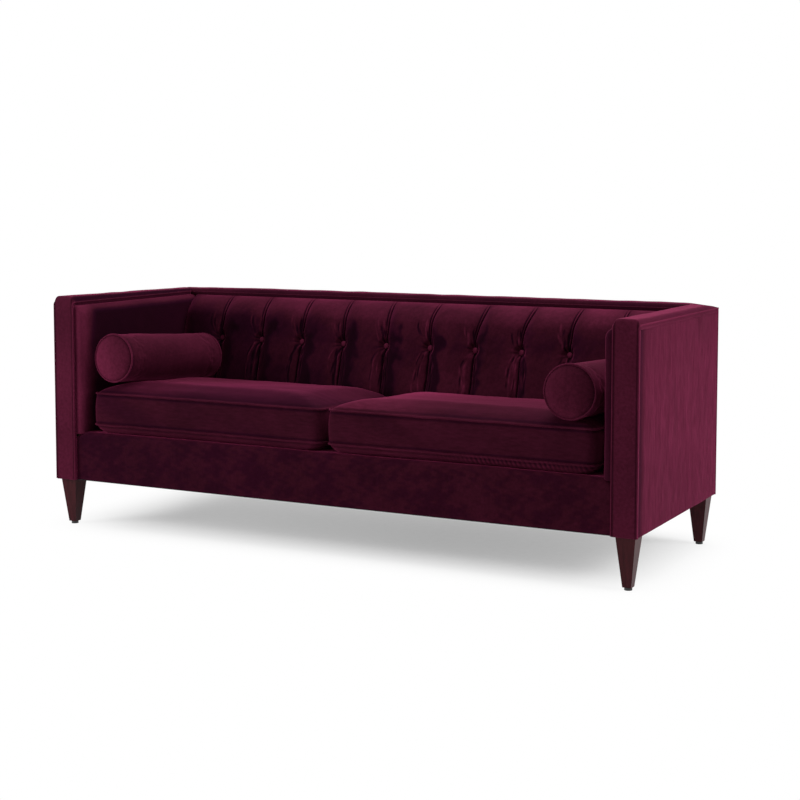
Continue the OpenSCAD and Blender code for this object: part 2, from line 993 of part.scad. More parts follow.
// What a bolster presses out of the crown of the cushion below it
module bolster_trough() {
    cylinder(h = bolster_len, r = bolster_r + rest_gap);
}

module right_cushion_cover() {
    color(velvet_light)
        difference() {
            cushion_shell();
            right_bolster_place()
                bolster_trough();
        }
}

module left_cushion_cover() {
    color(velvet_light)
        at_left()
            difference() {
                cushion_shell();
                left_bolster_place()
                    bolster_trough();
            }
}

module right_cushion_core() {
    color(foam)
        right_cushion_place()
            cushion_slab();
}

module left_cushion_core() {
    at_left()
        right_cushion_core();
}

// Bolsters, turned about their own axis, with a seam bead at each end
function cushion_top(x) =
    let (share = abs(x - cushion_x) / (cushion_w / 2 - seam_bead))
    upper_seam + seam_bead + (cushion_crown - seam_bead) * (1 - pow(min(share, 1), crown_power));

// Height at which a bolster's axis lies, when it rests on the cushion's crown below it
rest_steps = 12;
function bolster_axis(x) = max([
    for (i = [-rest_steps : rest_steps])
        let (away = bolster_r * i / rest_steps)
        cushion_top(x + away) + sqrt(bolster_r * bolster_r - away * away)
]) + rest_gap;

module bolster_cloth() {
    bulge_r = (bolster_end_r * bolster_end_r + bolster_bulge * bolster_bulge) / (2 * bolster_bulge);
    rotate_extrude() {
        translate([0, seam_bead])
            square([bolster_end_r, bolster_len - 2 * seam_bead]);
        translate([0, seam_bead])
            square([bolster_r, bolster_len - 2 * seam_bead]);
        for (end = [seam_bead, bolster_len - seam_bead])
            translate([bolster_end_r, end])
                circle(seam_bead, $fn = bead_sides);
        intersection() {
            translate([0, bulge_r - bolster_bulge])
                circle(bulge_r);
            area([0, -bolster_bulge], [bolster_end_r, 2 * seam_bead]);
        }
        intersection() {
            translate([0, bolster_len - bulge_r + bolster_bulge])
                circle(bulge_r);
            area([0, bolster_len - 2 * seam_bead], [bolster_end_r, bolster_len + bolster_bulge]);
        }
    }
}

module bolster_stuffing() {
    translate([0, 0, bolster_core_wall])
        cylinder(h = bolster_len - 2 * bolster_core_wall, r = bolster_r - bolster_core_wall);
}

right_bolster_x = pad_x - right_bolster_gap - bolster_r;
left_bolster_x = pad_x - left_bolster_gap - bolster_r;

// Lays a bolster on its cushion: x is the place of its front end, and its rear seam lies the given
// gap in front of the channels
module bolster_place(x, rear_gap, bed, turn) {
    rise = bolster_axis(x - bolster_len * sin(turn)) - bed;
    rear = (pad_crest_y - rear_gap - deck_front) / cos(seat_pitch) - (rise - bolster_r) * tan(seat_pitch);
    on_deck()
        translate([x, rear - bolster_len * cos(turn), rise])
            rotate([-90, 0, turn])
                children();
}

module right_bolster_place() {
    bolster_place(right_bolster_x, right_bolster_rear_gap, right_bolster_bed, right_bolster_turn)
        children();
}

// Measured on the right-hand side, as everything inside at_left() is
module left_bolster_place() {
    bolster_place(left_bolster_x, left_bolster_rear_gap, left_bolster_bed, left_bolster_turn)
        children();
}

module bolster_skin() {
    color(velvet_light)
        difference() {
            bolster_cloth();
            bolster_stuffing();
        }
}

module right_bolster_cover() {
    right_bolster_place()
        bolster_skin();
}

module left_bolster_cover() {
    at_left()
        left_bolster_place()
            bolster_skin();
}

module right_bolster_core() {
    color(foam)
        right_bolster_place()
            bolster_stuffing();
}

module left_bolster_core() {
    color(foam)
        at_left()
            left_bolster_place()
                bolster_stuffing();
}

// Legs: square, tapered on all four sides, screwed into T-nuts in the posts
module leg_taper() {
    foot = leg_foot / 2;
    top = leg_top / 2;
    polygon([[-foot, glide_h], [foot, glide_h], [top, leg_h], [-top, leg_h]]);
}

module leg(x, y) {
    color(leg_wood)
        translate([x, y, 0])
            difference() {
                intersection() {
                    along_x(-leg_top / 2, leg_top / 2)
                        leg_taper();
                    along_y(-leg_top / 2, leg_top / 2)
                        leg_taper();
                }
                translate([0, 0, leg_h - bolt_in_leg - bolt_fit])
                    cylinder(h = bolt_in_leg + bolt_fit + over, d = bolt_d + bolt_fit);
            }
}

module front_right_leg() {
    leg(leg_x, -leg_y);
}

module front_left_leg() {
    leg(-leg_x, -leg_y);
}

module back_right_leg() {
    leg(leg_x, leg_y);
}

module back_left_leg() {
    leg(-leg_x, leg_y);
}

// Puts a copy at each of the four legs
module at_legs() {
    for (x = [-leg_x, leg_x])
        for (y = [-leg_y, leg_y])
            translate([x, y, 0])
                children();
}

module leg_glides() {
    at_legs()
        color(black)
            cylinder(h = glide_h, d = leg_foot - 2 * cloth_t);
}

module leg_t_nuts() {
    at_legs()
        color(steel)
            difference() {
                union() {
                    translate([0, 0, leg_h])
                        cylinder(h = cloth_t, d = nut_flange_d);
                    translate([0, 0, leg_h])
                        cylinder(h = cloth_t + nut_barrel_h, d = nut_barrel_d);
                }
                translate([0, 0, leg_h - over])
                    cylinder(h = nut_barrel_h + cloth_t + 2 * over, d = bolt_d + bolt_fit);
            }
}

module leg_hanger_bolts() {
    at_legs()
        color(steel)
            translate([0, 0, leg_h - bolt_in_leg])
                cylinder(h = bolt_in_leg + cloth_t + bolt_in_post, d = bolt_d);
}

front_seat_rail();
back_seat_rail();
left_seat_rail();
right_seat_rail();
centre_seat_rail();
left_front_post();
right_front_post();
left_back_post();
right_back_post();
left_arm_rail();
right_arm_rail();
back_top_rail();
left_back_upright();
right_back_upright();
corner_blocks();
seat_springs();
spring_clips();
left_arm_outer_board();
right_arm_outer_board();
left_arm_inner_board();
right_arm_inner_board();
outer_back_board();
inner_back_board();
left_arm_foam();
right_arm_foam();
left_arm_front_foam();
right_arm_front_foam();
back_top_foam();
front_rail_foam();
seat_deck_pad();
back_pad_foam();
left_arm_outer_cover();
right_arm_outer_cover();
left_arm_inner_cover();
right_arm_inner_cover();
left_arm_band_cover();
right_arm_band_cover();
back_band_cover();
outer_back_cover();
front_rail_cover();
seat_deck_cover();
tufted_back_cover();
back_buttons();
dust_cover();
left_cushion_cover();
right_cushion_cover();
left_cushion_core();
right_cushion_core();
left_bolster_cover();
right_bolster_cover();
left_bolster_core();
right_bolster_core();
front_left_leg();
front_right_leg();
back_left_leg();
back_right_leg();
leg_glides();
leg_t_nuts();
leg_hanger_bolts();
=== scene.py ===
import json
import math
from functools import partial

import bmesh
import bpy
import numpy as np
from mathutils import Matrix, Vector


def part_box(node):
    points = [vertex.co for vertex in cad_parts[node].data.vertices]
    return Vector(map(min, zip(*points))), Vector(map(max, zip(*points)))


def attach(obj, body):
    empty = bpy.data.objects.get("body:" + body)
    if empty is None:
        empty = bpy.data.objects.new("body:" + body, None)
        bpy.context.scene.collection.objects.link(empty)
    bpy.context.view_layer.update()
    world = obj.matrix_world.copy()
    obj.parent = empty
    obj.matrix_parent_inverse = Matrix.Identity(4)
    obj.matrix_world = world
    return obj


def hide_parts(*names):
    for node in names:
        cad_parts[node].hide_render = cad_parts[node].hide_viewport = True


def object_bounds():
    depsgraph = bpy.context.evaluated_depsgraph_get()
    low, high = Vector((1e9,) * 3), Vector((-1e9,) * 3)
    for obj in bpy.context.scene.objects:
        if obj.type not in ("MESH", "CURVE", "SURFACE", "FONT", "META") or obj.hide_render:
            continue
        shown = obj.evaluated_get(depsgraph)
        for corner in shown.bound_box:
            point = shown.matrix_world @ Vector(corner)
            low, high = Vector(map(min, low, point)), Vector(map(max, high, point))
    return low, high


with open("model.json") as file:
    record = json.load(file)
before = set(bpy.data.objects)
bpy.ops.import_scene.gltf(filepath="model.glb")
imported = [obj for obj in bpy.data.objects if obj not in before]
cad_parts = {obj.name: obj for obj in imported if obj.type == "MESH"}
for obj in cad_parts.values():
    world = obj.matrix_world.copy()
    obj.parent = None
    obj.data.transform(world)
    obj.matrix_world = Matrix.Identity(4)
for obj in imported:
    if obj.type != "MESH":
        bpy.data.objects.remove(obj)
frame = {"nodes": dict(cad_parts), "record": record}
cad_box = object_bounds()
MM = 0.001
TURN = 2 * math.pi

# Sizes of the upholstery, in metres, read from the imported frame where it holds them
half_w, half_d = cad_box[1].x, -cad_box[0].y
side_low, side_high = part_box("left_arm_outer_cover")
body_z, seam_z = side_low.z, side_high.z
crown = cad_box[1].z - seam_z
rail_low, rail_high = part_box("front_rail_cover")
deck_front, deck_h = rail_high.y, rail_high.z
band_x = rail_high.x
band_w = half_w - band_x
band_y = half_d - band_w
band_mid = half_w - band_w / 2
pad_low, pad_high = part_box("right_arm_inner_cover")
pad_x, pad_front, pad_top = pad_low.x, pad_low.y, pad_high.z
back_low, back_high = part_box("tufted_back_cover")
board_x, board_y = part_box("seat_deck_cover")[1].x, back_high.y
corner_r = 11 * MM
seat_pitch = math.radians(3)
TILT_S, TILT_C = math.sin(seat_pitch), math.cos(seat_pitch)
# How much lighter the piping is painted: a painted highlight on the welts
WELT_HIGHLIGHT = 1.25


def rise(value, start, width):
    """0 up to start, 1 from start + width on, and a smooth step between."""
    t = np.clip((value - start) / width, 0.0, 1.0)
    return t * t * (3 - 2 * t)


def fall(value, start, width):
    return 1 - rise(value, start, width)


def quarter(steps):
    return np.linspace(0, math.pi / 2, steps)


def bell(distance, width):
    return np.exp(-((distance / width) ** 2))


def ripples(points, wave, seed, count=7):
    """Smooth, repeatable unevenness of about -1 to 1, with waves of about the given length."""
    rng = np.random.default_rng(seed)
    total = np.zeros(points.shape[:-1])
    for _ in range(count):
        way = rng.normal(size=3)
        way /= np.linalg.norm(way)
        length = wave * rng.uniform(0.7, 1.5)
        total += np.sin(points @ way * (TURN / length) + rng.uniform(0, TURN))
    return total / math.sqrt(count)


def spots(x, y, z):
    """Points from their coordinates, each an array or one number."""
    return np.stack(np.broadcast_arrays(x, y, z), -1)


def axes(points):
    """The x, y and z of points."""
    return np.moveaxis(np.asarray(points, float), -1, 0)


def put(target, **values):
    """Sets several properties."""
    for key, value in values.items():
        setattr(target, key, value)
    return target


def link_new(name, data, **values):
    obj = put(bpy.data.objects.new(name, data), **values)
    bpy.context.scene.collection.objects.link(obj)
    return obj


# Meshes


def add_mesh(name, points, faces, tone_and_painted_light=1.0):
    """Joins points that lie together, turns the faces outwards and shades them smoothly."""
    mesh = bpy.data.meshes.new(name)
    mesh.from_pydata(np.asarray(points, float).reshape(-1, 3).tolist(), [], faces)
    obj = link_new(name, mesh)
    set_nap(obj, tone_and_painted_light)
    bm = bmesh.new()
    bm.from_mesh(mesh)
    bmesh.ops.remove_doubles(bm, verts=bm.verts, dist=0.02 * MM)
    bmesh.ops.recalc_face_normals(bm, faces=bm.faces)
    for face in bm.faces:
        face.smooth = True
    bm.to_mesh(mesh)
    bm.free()
    mesh.update()
    return obj


def per_point(data, field, width=3):
    """What a mesh holds for each of its points, in rows."""
    out = np.zeros(len(data) * width)
    data.foreach_get(field, out)
    return out.reshape(-1, width)


def points_of(obj):
    return per_point(obj.data.vertices, "co")


def set_points(obj, points):
    obj.data.vertices.foreach_set("co", np.asarray(points, float).ravel())
    obj.data.update()


def set_nap(obj, values):
    """Painted light and shade at each point, with some random tone, as a factor on the colour."""
    if "tone_and_painted_light" not in obj.data.attributes:
        obj.data.attributes.new("tone_and_painted_light", "FLOAT", "POINT")
    spread = np.ones(len(obj.data.vertices)) * values
    obj.data.attributes["tone_and_painted_light"].data.foreach_set("value", spread)


def grid_faces(rows, cols, start=0, round_cols=False):
    faces = []
    for r in range(rows - 1):
        low, high = start + r * cols, start + (r + 1) * cols
        for c in range(cols if round_cols else cols - 1):
            d = (c + 1) % cols
            faces.append((low + c, low + d, high + d, high + c))
    return faces


def capped(rows, cols):
    """Faces through closed rings of points, with a cap on both ends."""
    last = (rows - 1) * cols
    return grid_faces(rows, cols, round_cols=True) + [tuple(range(cols)), tuple(range(last, last + cols))]


def border(rows, cols):
    """The points round a grid, in order."""
    index = np.arange(rows * cols).reshape(rows, cols)
    return np.concatenate([index[0], index[1:, -1], index[-1, -2::-1], index[-2:0:-1, 0]]).tolist()


def swept(name, grid):
    """Closed solid from rows of sections."""
    return add_mesh(name, grid, capped(*grid.shape[:2]))


def flat_backed(name, grid, tone_and_painted_light=1.0):
    """Closed solid from a grid whose border lies in one plane."""
    rows, cols = grid.shape[:2]
    return add_mesh(name, grid, grid_faces(rows, cols) + [tuple(border(rows, cols))], tone_and_painted_light)


def edge_profile(low, high, low_roll, high_roll, depth, step):
    """Places from low to high and how far the surface sinks at each: walls, rolled edges, a flat middle."""
    arc = np.radians([0, 22, 45, 68, 90])
    bend, drop = 1 - np.cos(arc), 1 - np.sin(arc)
    span = high - high_roll - low - low_roll
    count = max(2, round(span / step))
    middle = low + low_roll + span * np.arange(1, count) / count
    places = [[low], low + low_roll * bend, middle, (high - high_roll * bend)[::-1], [high]]
    sinks = [[depth], low_roll * drop, 0 * middle, (high_roll * drop)[::-1], [depth]]
    return np.concatenate(places), np.concatenate(sinks)


def taut_edges(low, high, step=9 * MM):
    """Edge profile of cloth pulled over a board."""
    return edge_profile(low, high, 3 * MM, 3 * MM, 5 * MM, step)


def panel(name, place, us, vs, depth, lift):
    """Padded panel: us and vs are edge profiles, lift(u, v) its pillow, place(u, v, height) its spot."""
    u, v = np.meshgrid(us[0], vs[0], indexing="ij")
    sink = np.minimum(us[1][:, None] + vs[1][None, :], depth)
    return flat_backed(name, place(u, v, lift(u, v) * fall(sink, 0, 0.6 * depth) - sink))


def tube(points, radius, sides=8, closed=False, wobble=1.0):
    """Points and faces of a round tube along a path."""
    path = np.asarray(points, float)
    count = len(path)
    along = np.roll(path, -1, 0) - np.roll(path, 1, 0) if closed else np.gradient(path, axis=0)
    along /= np.linalg.norm(along, axis=1)[:, None]
    side = np.cross(along, [0.31, 0.22, 0.92])
    side /= np.linalg.norm(side, axis=1)[:, None]
    other = np.cross(along, side)
    angle = np.linspace(0, TURN, sides, endpoint=False)[None, :, None]
    size = (radius * wobble * np.ones(count))[:, None, None]
    rings = path[:, None, :] + size * (np.cos(angle) * side[:, None, :] + np.sin(angle) * other[:, None, :])
    if not closed:
        return rings, capped(count, sides)
    last = (count - 1) * sides
    faces = grid_faces(count, sides, round_cols=True)
    faces += [(last + c, last + (c + 1) % sides, (c + 1) % sides, c) for c in range(sides)]
    return rings, faces


def select(*objects):
    bpy.ops.object.select_all(action="DESELECT")
    for obj in objects:
        obj.select_set(True)
    bpy.context.view_layer.objects.active = objects[0]


def join(name, objects):
    """Joins meshes into the first one."""
    select(*objects)
    bpy.ops.object.join()
    objects[0].name = name
    return objects[0]


def add_welts(name, tubes):
    # each welt carries the painted highlight
    return [add_mesh(f"{name}_welt_{i}", *welt, WELT_HIGHLIGHT) for i, welt in enumerate(tubes)]


def with_welts(obj, tubes):
    return join(obj.name, [obj] + add_welts(obj.name, tubes))


def upholster(obj, replaced, shade, material=None, body="root"):
    """Covers a piece with velvet, multiplies painted light and shade into its point attribute, hides the
    parts it replaces and hangs it on its body.
    """
    obj.data.materials.clear()
    obj.data.materials.append(material or plain_velvet)
    tone_and_painted_light = per_point(obj.data.attributes["tone_and_painted_light"].data, "value", 1)[:, 0]
    set_nap(obj, tone_and_painted_light * shade(points_of(obj), per_point(obj.data.vertices, "normal")))
    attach(obj, body)
    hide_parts(*replaced)


def on_deck(points):
    """From the tilted frame of the seat, whose origin is the deck's front edge, to the sofa's frame."""
    x, y, z = axes(points)
    return spots(x, deck_front + y * TILT_C + z * TILT_S, deck_h - y * TILT_S + z * TILT_C)


def off_deck(points):
    """The opposite of on_deck."""
    x, y, z = axes(points)
    y, z = y - deck_front, z - deck_h
    return spots(x, y * TILT_C - z * TILT_S, y * TILT_S + z * TILT_C)


# Materials


class Shader:
    """Nodes of a new material or a world, with short calls that add a node and set its sockets by name."""

    def __init__(self, name, world=None):
        self.owner = world or bpy.data.materials.new(name)
        self.owner.use_nodes = True
        self.nodes = self.owner.node_tree.nodes
        self.links = self.owner.node_tree.links
        self.surface = self.nodes["Background" if world else "Principled BSDF"]

    def add(self, kind, **sockets):
        node = self.nodes.new(kind)
        for key, value in sockets.items():
            self.set(node, key.replace("_", " "), value)
        return node

    def set(self, node, key, value):
        socket = node.inputs[int(key)] if key.isdigit() else node.inputs[key]
        if isinstance(value, bpy.types.NodeSocket):
            self.links.new(value, socket)
        else:
            socket.default_value = value

    def place(self):
        return self.add("ShaderNodeTexCoord").outputs["Object"]

    def noise(self, scale, detail=3.0, rough=0.5, stretch=(1, 1, 1)):
        spot = self.add("ShaderNodeMapping", Vector=self.place(), Scale=stretch).outputs[0]
        node = self.add("ShaderNodeTexNoise", Vector=spot, Scale=scale, Detail=detail, Roughness=rough)
        return node.outputs["Fac"]

    def ramp(self, value, low, high, low_color, high_color):
        node = self.add("ShaderNodeValToRGB", Fac=value)
        for stop, position, color in zip(node.color_ramp.elements, (low, high), (low_color, high_color)):
            put(stop, position=position, color=(*color, 1))
        return node.outputs["Color"]

    def mix(self, factor, a, b, kind="MIX"):
        node = put(self.nodes.new("ShaderNodeMix"), data_type="RGBA", blend_type=kind)
        for key, value in (("0", factor), ("6", a), ("7", b)):
            self.set(node, key, (*value, 1) if isinstance(value, tuple) else value)
        return node.outputs[2]

    def math(self, kind, a, b):
        node = put(self.nodes.new("ShaderNodeMath"), operation=kind)
        self.set(node, "0", a)
        self.set(node, "1", b)
        return node.outputs[0]

    def spread(self, value, low, high, start=0.0, end=1.0, kind="LINEAR"):
        """From low where value is start to high where it is end."""
        node = self.add("ShaderNodeMapRange", Value=value, From_Min=start, From_Max=end,
                        To_Min=low, To_Max=high)
        node.interpolation_type = kind
        return node.outputs[0]

    def bump(self, height, strength, distance):
        node = self.add("ShaderNodeBump", Height=height, Strength=strength, Distance=distance)
        self.set(self.surface, "Normal", node.outputs[0])

    def finish(self, **sockets):
        for key, value in sockets.items():
            self.set(self.surface, key.replace("_", " "), value)
        return self.owner


BLACK, WHITE = (0, 0, 0), (1, 1, 1)
VELVET_DARK = (0.052, 0.0056, 0.016)
VELVET_MID = (0.086, 0.0098, 0.0275)
VELVET_LIGHT = (0.135, 0.0165, 0.047)
VELVET_SHEEN = (0.66, 0.072, 0.22, 1)
# Purple tint given to deep painted shade
PAINTED_SHADE_TINT = (0.7, 0.3, 1.3)


def velvet(name, streak=(9, 9, 9), streak_depth=0.35):
    """Velvet of cut fibres: random patches, streaks along the weave, painted highlights on ridges, painted
    light and shade read from a point attribute, and a fine speckled bump.
    """
    s = Shader(name)
    patches = s.noise(5.0, 4.0, 0.55)
    streaks = s.noise(11.0, 5.0, 0.6, streak)
    fine = s.noise(900.0, 2.0, 0.6)
    base = s.ramp(patches, 0.3, 0.72, VELVET_DARK, VELVET_MID)
    color = s.mix(streak_depth, base, s.ramp(streaks, 0.35, 0.75, VELVET_DARK, VELVET_LIGHT))
    # painted highlight: ridges, found by their pointiness, are lightened towards VELVET_LIGHT
    ridge = s.add("ShaderNodeNewGeometry").outputs["Pointiness"]
    ridge_highlight = s.ramp(ridge, 0.5, 0.6, BLACK, WHITE)
    color = s.mix(s.math("MULTIPLY", ridge_highlight, 0.3), color, VELVET_LIGHT)
    # the point attribute multiplies in painted light and shade, and deep painted shade is tinted purple
    painted_light_in = put(s.nodes.new("ShaderNodeAttribute"), attribute_name="tone_and_painted_light").outputs
    for factor in (s.ramp(fine, 0.25, 0.8, (0.82, 0.82, 0.82), (1.1, 1.1, 1.1)), painted_light_in["Color"],
                   s.ramp(painted_light_in["Fac"], 0.1, 0.42, PAINTED_SHADE_TINT, WHITE)):
        color = s.mix(1.0, color, factor, "MULTIPLY")
    s.bump(fine, 0.35, 0.0006)
    return s.finish(Base_Color=color, Roughness=s.spread(patches, 0.72, 0.92), Specular_IOR_Level=0.02,
                    Sheen_Weight=0.3, Sheen_Roughness=0.42, Sheen_Tint=VELVET_SHEEN)


def wood(name, dark, light, grain, gloss, shine=0.5):
    s = Shader(name)
    rings = s.noise(3.5, 6.0, 0.62, grain)
    pores = s.noise(60.0, 3.0, 0.6, tuple(g / 6 for g in grain))
    color = s.mix(0.35, s.ramp(rings, 0.36, 0.68, dark, light), s.ramp(pores, 0.4, 0.7, dark, light))
    s.bump(pores, 0.18, 0.0004)
    return s.finish(Base_Color=color, Roughness=s.spread(rings, gloss, gloss + 0.14),
                    Specular_IOR_Level=shine)


def speckled(name, dark, light, scale, rough=0.8, depth=0.0005, metal=0.0):
    s = Shader(name)
    grain = s.noise(scale, 4.0, 0.65)
    s.bump(grain, 0.3, depth)
    return s.finish(Base_Color=s.ramp(grain, 0.35, 0.68, dark, light), Metallic=metal,
                    Roughness=s.spread(grain, rough, min(1.0, rough + 0.15)))


def woven(name, dark, light, pitch):
    """Spun-bonded cloth with a fine square emboss."""
    s = Shader(name)
    waves = [put(s.add("ShaderNodeTexWave", Vector=s.place(), Scale=1 / (pitch * 3.2)),
                 bands_direction=way).outputs["Fac"] for way in "XY"]
    weave = s.math("MULTIPLY", *waves)
    s.bump(weave, 0.4, 0.0004)
    color = s.mix(s.noise(90.0, 4.0, 0.6), s.ramp(weave, 0.1, 0.9, dark, light), light)
    return s.finish(Base_Color=color, Roughness=0.9)


plain_velvet = velvet("velvet")
side_velvet = velvet("velvet_side", (9, 9, 1.6), 0.65)
seat_velvet = velvet("velvet_seat", (3, 12, 12), 0.4)
CAD_FINISHES = [
    ("leg_wood", wood, (0.028, 0.0036, 0.0055), (0.06, 0.009, 0.013), (26, 26, 2.2), 0.28, 0.1),
    ("frame_timber", wood, (0.42, 0.27, 0.13), (0.68, 0.5, 0.29), (2.2, 14, 14), 0.6),
    ("plywood", wood, (0.36, 0.23, 0.11), (0.56, 0.4, 0.22), (6, 6, 40), 0.62),
    ("board", speckled, (0.2, 0.13, 0.07), (0.34, 0.24, 0.14), 260.0),
    ("foam", speckled, (0.62, 0.55, 0.34), (0.8, 0.74, 0.54), 420.0, 0.9, 0.0008),
    ("steel", speckled, (0.34, 0.35, 0.36), (0.55, 0.56, 0.58), 140.0, 0.32, 0.0001, 1.0),
    ("clip_steel", speckled, (0.01, 0.01, 0.011), (0.03, 0.03, 0.032), 200.0, 0.45, 0.0001),
    ("glide_nylon", speckled, (0.008, 0.008, 0.008), (0.02, 0.02, 0.02), 300.0, 0.5, 0.0001),
    ("dust_cloth", woven, (0.006, 0.006, 0.007), (0.022, 0.022, 0.024), 0.0016),
]
cad_finish = {slot: make(slot, *values) for slot, make, *values in CAD_FINISHES}
slot_of = {row["node"]: row["material_slot"] for row in frame["record"]["subparts"]}
for node_name, node_object in frame["nodes"].items():
    if slot_of[node_name] in cad_finish:
        node_object.data.materials.clear()
        node_object.data.materials.append(cad_finish[slot_of[node_name]])
    # a worn, slightly rounded arris on each leg
    if node_name.endswith("_leg"):
        put(node_object.modifiers.new("arris", "BEVEL"), width=1.2 * MM, segments=3,
            limit_method="ANGLE", angle_limit=math.radians(50), harden_normals=False)


# Arms

# How much fuller the padding is at the front of each arm's top
FRONT_FILL = {-1: 0.34, 1: 0.12}


def mirrored(points, side):
    return np.asarray(points, float) * [side, 1, 1]


def corner_fall(x, y):
    """Share of the crown that is left near the sofa's rear corners, where the mitre draws the velvet down."""
    away = np.hypot(half_w - np.abs(x), half_d - y)
    return 1 - np.where(x < 0, 0.27 * fall(away, 0, 0.42), 0.72 * fall(away, 0, 0.115))


def mitre_dip(distance):
    """How far a band dips at its mitred seam."""
    return 1.6 * MM * bell(distance, 5 * MM)


def band_columns():
    """Places across a band, how far its velvet sinks there, the share across, and its crowned height."""
    places, sinks = edge_profile(-band_w / 2, band_w / 2, 3 * MM, 3 * MM, 13 * MM, 2.6 * MM)
    across = np.clip(places / (band_w / 2), -1, 1)
    edge = (1 - np.abs(across)) * band_w / 2
    return places, sinks, across, crown * (1 - np.abs(across) ** 9) - MM * bell(edge, 4 * MM)


def arm_band(name, side, seed):
    """Velvet over an arm's front, its rolled corner and its crowned top, as far as the mitre."""
    places, sinks, across, top = band_columns()
    x = band_mid + places
    extra = FRONT_FILL[side]
    foot_r = 4 * MM
    corner_y, corner_z = -half_d + corner_r, seam_z - corner_r
    rows = [spots(x, -half_d + foot_r * (1 - math.cos(a)) + sinks, body_z + foot_r - foot_r * math.sin(a))
            for a in np.linspace(math.radians(80), 0, 5)]
    rows += [spots(x, -half_d + sinks - 0.6 * MM * (1 - across ** 2), z)
             for z in np.arange(body_z + 2 * foot_r, corner_z, 7 * MM)]
    reach = corner_r - sinks
    climb = corner_r + np.maximum(top * (1 + extra), -2 * MM) - sinks
    rows += [spots(x, corner_y - reach * math.cos(a) ** 0.8, corner_z + climb * math.sin(a) ** 0.8)
             for a in quarter(15)]
    mitre_y = band_y + (x - band_x)
    for t in np.linspace(0, 1, 92)[1:]:
        y = corner_y + (mitre_y - corner_y) * t
        level = top * (1 + extra * fall(y, -half_d, 0.42)) * corner_fall(side * x, y)
        rows.append(spots(x, y, seam_z + level - sinks - mitre_dip(mitre_y - y)))
    grid = np.array(rows)
    grid[..., 1] += 0.45 * MM * ripples(grid, 0.13, seed) * (grid[..., 2] < corner_z)
    grid[..., 2] += 0.5 * MM * ripples(grid, 0.11, seed + 1) * (grid[..., 2] > seam_z - 5 * MM)
    seams = [tube(mirrored(arm_seam(at), side), 2.6 * MM) for at in (half_w - 0.6 * MM, band_x + 0.4 * MM)]
    return with_welts(swept(name, mirrored(grid, side)), seams)


def arm_seam(x):
    """Path of a seam up an arm's front edge, round its corner and along its top."""
    r = corner_r - MM
    corner_y, corner_z = -half_d + corner_r, seam_z - corner_r
    end_y = (half_d if x > band_mid else band_y) - MM
    points = [(x, -half_d + MM, z) for z in np.arange(body_z + 2 * MM, corner_z, 8 * MM)]
    points += [(x, corner_y - r * math.cos(a), corner_z + r * math.sin(a)) for a in quarter(12)]
    points += [(x, y, seam_z - MM) for y in np.arange(corner_y + 8 * MM, end_y, 8 * MM)]
    return np.array(points)


def arm_side(name, side, seed):
    """Velvet pulled flat over an arm's outer board."""

    def lift(y, z):
        pull = ripples(spots(0, y, z) * [1, 1, 0.35], 0.09, seed) * 0.35 * MM
        return pull + 0.9 * MM * (1 - (y / half_d) ** 4)

    def place(y, z, height):
        # the front top corner is drawn in to the band's round
        past = np.hypot(np.minimum(0, y + half_d - corner_r), np.maximum(0, z - seam_z + corner_r))
        pull_in = 0.72 * np.maximum(0, past - corner_r)
        return mirrored(spots(half_w - 1.2 * MM + height, y + pull_in, z - pull_in), side)

    return panel(name, place, taut_edges(-half_d + MM, half_d - MM), taut_edges(body_z, seam_z), 5 * MM, lift)


def arm_pad(name, side, seed):
    """Inner arm padding, rolled over at its top and rounded down its front edge."""
    depth = board_x - pad_x
    foot = deck_h - 46 * MM
    ys = edge_profile(pad_front, board_y, 16 * MM, 2 * MM, depth, 8 * MM)
    zs = edge_profile(foot, pad_top, 6 * MM, 28 * MM, depth, 8 * MM)

    def lift(y, z):
        points = spots(0, y, z)
        soft = 2.2 * MM * (1 - ((y - pad_front) / (board_y - pad_front) * 2 - 1) ** 4)
        return soft + 0.7 * MM * ripples(points, 0.16, seed) + 0.25 * MM * ripples(points, 0.05, seed + 5)

    def place(y, z, height):
        # the foot follows the slope of the deck, and at the front it dips with the rail's end
        drop = np.tan(seat_pitch) * np.maximum(0, y - deck_front) + 8 * MM
        share = np.clip((pad_top - z) / (pad_top - foot), 0, 1)
        return mirrored(spots(pad_x - height, y, z + (46 * MM - drop) * share ** 3), side)

    return panel(name, place, ys, zs, depth, lift)


# Back


def back_band():
    """Crowned velvet top of the back, mitred into the arms' tops."""
    places, sinks, _, top = band_columns()
    y = half_d - band_w / 2 + places
    reach = band_x + (y - band_y)
    grid = np.array([spots(x, y, seam_z + top * corner_fall(x, y) - sinks - mitre_dip(reach - np.abs(x)))
                     for x in reach * np.linspace(-1, 1, 241)[:, None]])
    grid[..., 2] += 0.5 * MM * ripples(grid, 0.12, 31)
    seams = [tube([(x, seam_y, seam_z - 1.4 * MM) for x in np.linspace(-end + MM, end - MM, 230)], 2.3 * MM)
             for seam_y, end in ((half_d - 1.6 * MM, half_w), (band_y + 1.2 * MM, band_x))]
    return with_welts(swept("back_band", grid), seams)


def outer_back():
    def lift(x, z):
        bow = 0.8 * MM * (1 - (x / half_w) ** 6)
        return bow + 0.45 * MM * ripples(spots(x, 0, z) * [1, 1, 0.3], 0.12, 41)

    xs = taut_edges(-half_w + MM, half_w - MM, 11 * MM)
    obj = panel("outer_back", lambda x, z, height: spots(x, half_d - 1.2 * MM + height, z),
                xs, taut_edges(body_z, seam_z), 5 * MM, lift)
    inset = 1.6 * MM
    return with_welts(obj, [tube([(side * (half_w - inset), half_d - inset, z)
                                  for z in np.arange(body_z, seam_z, 8 * MM)], 2.3 * MM) for side in (-1, 1)])


